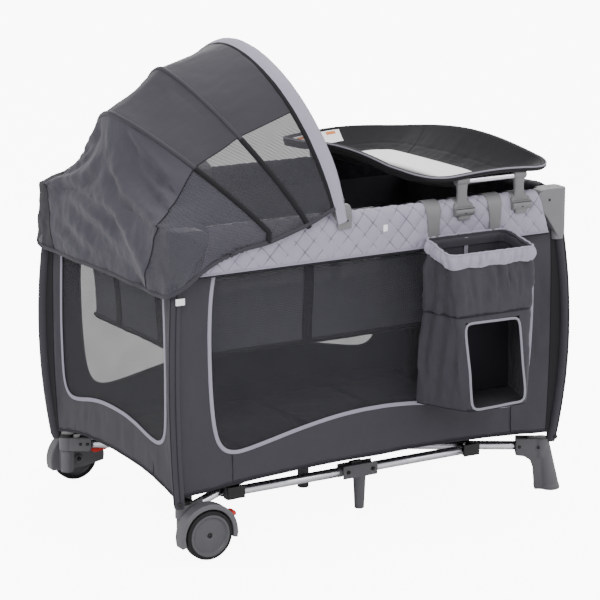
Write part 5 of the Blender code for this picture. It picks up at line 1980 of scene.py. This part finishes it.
parts = Parts()
parts.sheet(COLLAR_COUNT, 14, collar, "lavender", 0.0020, closed_u=True)
parts.sheet(COLLAR_COUNT, 6, collar_lining, "charcoal", 0.0012, closed_u=True, flip=True)
parts.tube([collar(i, 0) + vec(0, 0, 0.0006) for i in range(0, COLLAR_COUNT, 2)], "lavender",
           0.0024, closed=True)
register(parts.make("organizer_collar", sharp=60), "organizer")


def bag_front_y(x, z):
    row = min(range(BAG_ROWS + 1), key=lambda k: abs(BAG_Z[k] - z))

    def miss(i):
        p = BAG_RINGS[row][i][0]
        return abs(p.x - x) + (10 if p.y > -0.44 else 0)

    return bag_skin(min(range(BAG_COUNT), key=miss), row, 0.0014).y


# binding of the front opening
line = []
for (xa, za), (xb, zb) in zip(OPENING_EDGE, OPENING_EDGE[1:] + OPENING_EDGE[:1]):
    for k in range(14):
        x, z = lerp(xa, xb, k / 14), lerp(za, zb, k / 14)
        line.append(vec(x, bag_front_y(x, z), z))
for _ in range(2):
    line = [(line[i - 1] + line[i] * 2 + line[(i + 1) % len(line)]) / 4 for i in range(len(line))]
parts = Parts().tube(line, "piping", 0.0014, 0.0030, count=10, closed=True, hint=(0, -1, 0),
                     square=0.7)
register(parts.make("organizer_opening_binding"), "organizer")


def side_tab(i, j):
    """Small tab at the front left corner."""
    t = i / 4
    return vec(lerp(-0.5340, -0.5090, t), -0.3560 + 0.0060 * t ** 1.5,
               lerp(0.611, 0.596, j / 3) - 0.002 * i / 4)


ob = Parts().sheet(5, 4, side_tab, "white", 0.0010).make("side_tab")
register(ob, "corner_front_left")

# ------------------------------------------------------------------ studio
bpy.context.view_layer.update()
HALF, GROUND = 30, -0.0006
mesh = bpy.data.meshes.new("floor")
mesh.from_pydata([(-HALF, -HALF, GROUND), (HALF, -HALF, GROUND), (HALF, HALF, GROUND),
                  (-HALF, HALF, GROUND)], [], [(0, 1, 2, 3)])
studio_floor = new_object("studio_floor", mesh)
s = Shader("studio_floor")
patches = s.noise(scale=0.8, detail=2, rough=0.5)
rays = s.node("LightPath")
tone = s.ramp(patches, (0.3, (0.92, 0.92, 0.92, 1)), (0.7, (0.925, 0.925, 0.925, 1)))
# glows 8.8 to the camera, but 0.4 where it is seen through netting
through_net = s.math("GREATER_THAN", rays.outputs["Transparent Depth"], 0.5)
glow = s.math("MULTIPLY_ADD", through_net, -8.4, 8.8)
s.set(Base_Color=tone, Roughness=0.85, Specular_IOR_Level=0.1, Emission_Color=(1, 1, 1, 1),
      Emission_Strength=s.math("MULTIPLY", rays.outputs["Is Camera Ray"], glow))
mesh.materials.append(s.mat)

world = bpy.data.worlds.new("studio")
scene.world = world
world.use_nodes = True
background = next(n for n in world.node_tree.nodes if n.type == "BACKGROUND")
background.inputs[0].default_value = (1.0, 1.0, 1.0, 1)
background.inputs[1].default_value = 1.0

# name, place, height aimed at over the origin, size, power
LIGHTS = [
    ("key", (-2.4, -2.2, 3.0), 0.5, (2.0, 2.0), 60),
    ("fill", (2.6, -2.8, 1.8), 0.5, (2.4, 2.0), 38),
    ("top", (0.2, 0.4, 3.4), 0.6, (2.6, 2.2), 45),
    ("rim", (1.6, 2.8, 2.0), 0.7, (2.0, 1.4), 30),
]
for name, place, aim_z, size, power in LIGHTS:
    light = bpy.data.lights.new(name, "AREA")
    light.shape = "RECTANGLE"
    light.size, light.size_y = size
    light.energy = power
    ob = new_object(name, light)
    ob.location = place
    ob.rotation_euler = (vec(0, 0, aim_z) - Vector(place)).to_track_quat("-Z", "Y").to_euler()

lens = bpy.data.cameras.new("camera")
lens.lens = 142.2
lens.sensor_width = 36
lens.clip_start, lens.clip_end = 0.1, 100
camera = new_object("camera", lens)
right = vec(0.85941, -0.51129, 0).normalized()
back = vec(-0.49738, -0.83602, 0.23175).normalized()
pose = Matrix((right, back.cross(right), back)).transposed().to_4x4()
pose.translation = vec(-2.858, -4.789, 1.8005)
camera.matrix_world = pose
scene.camera = camera
scene.render.resolution_x = scene.render.resolution_y = 600
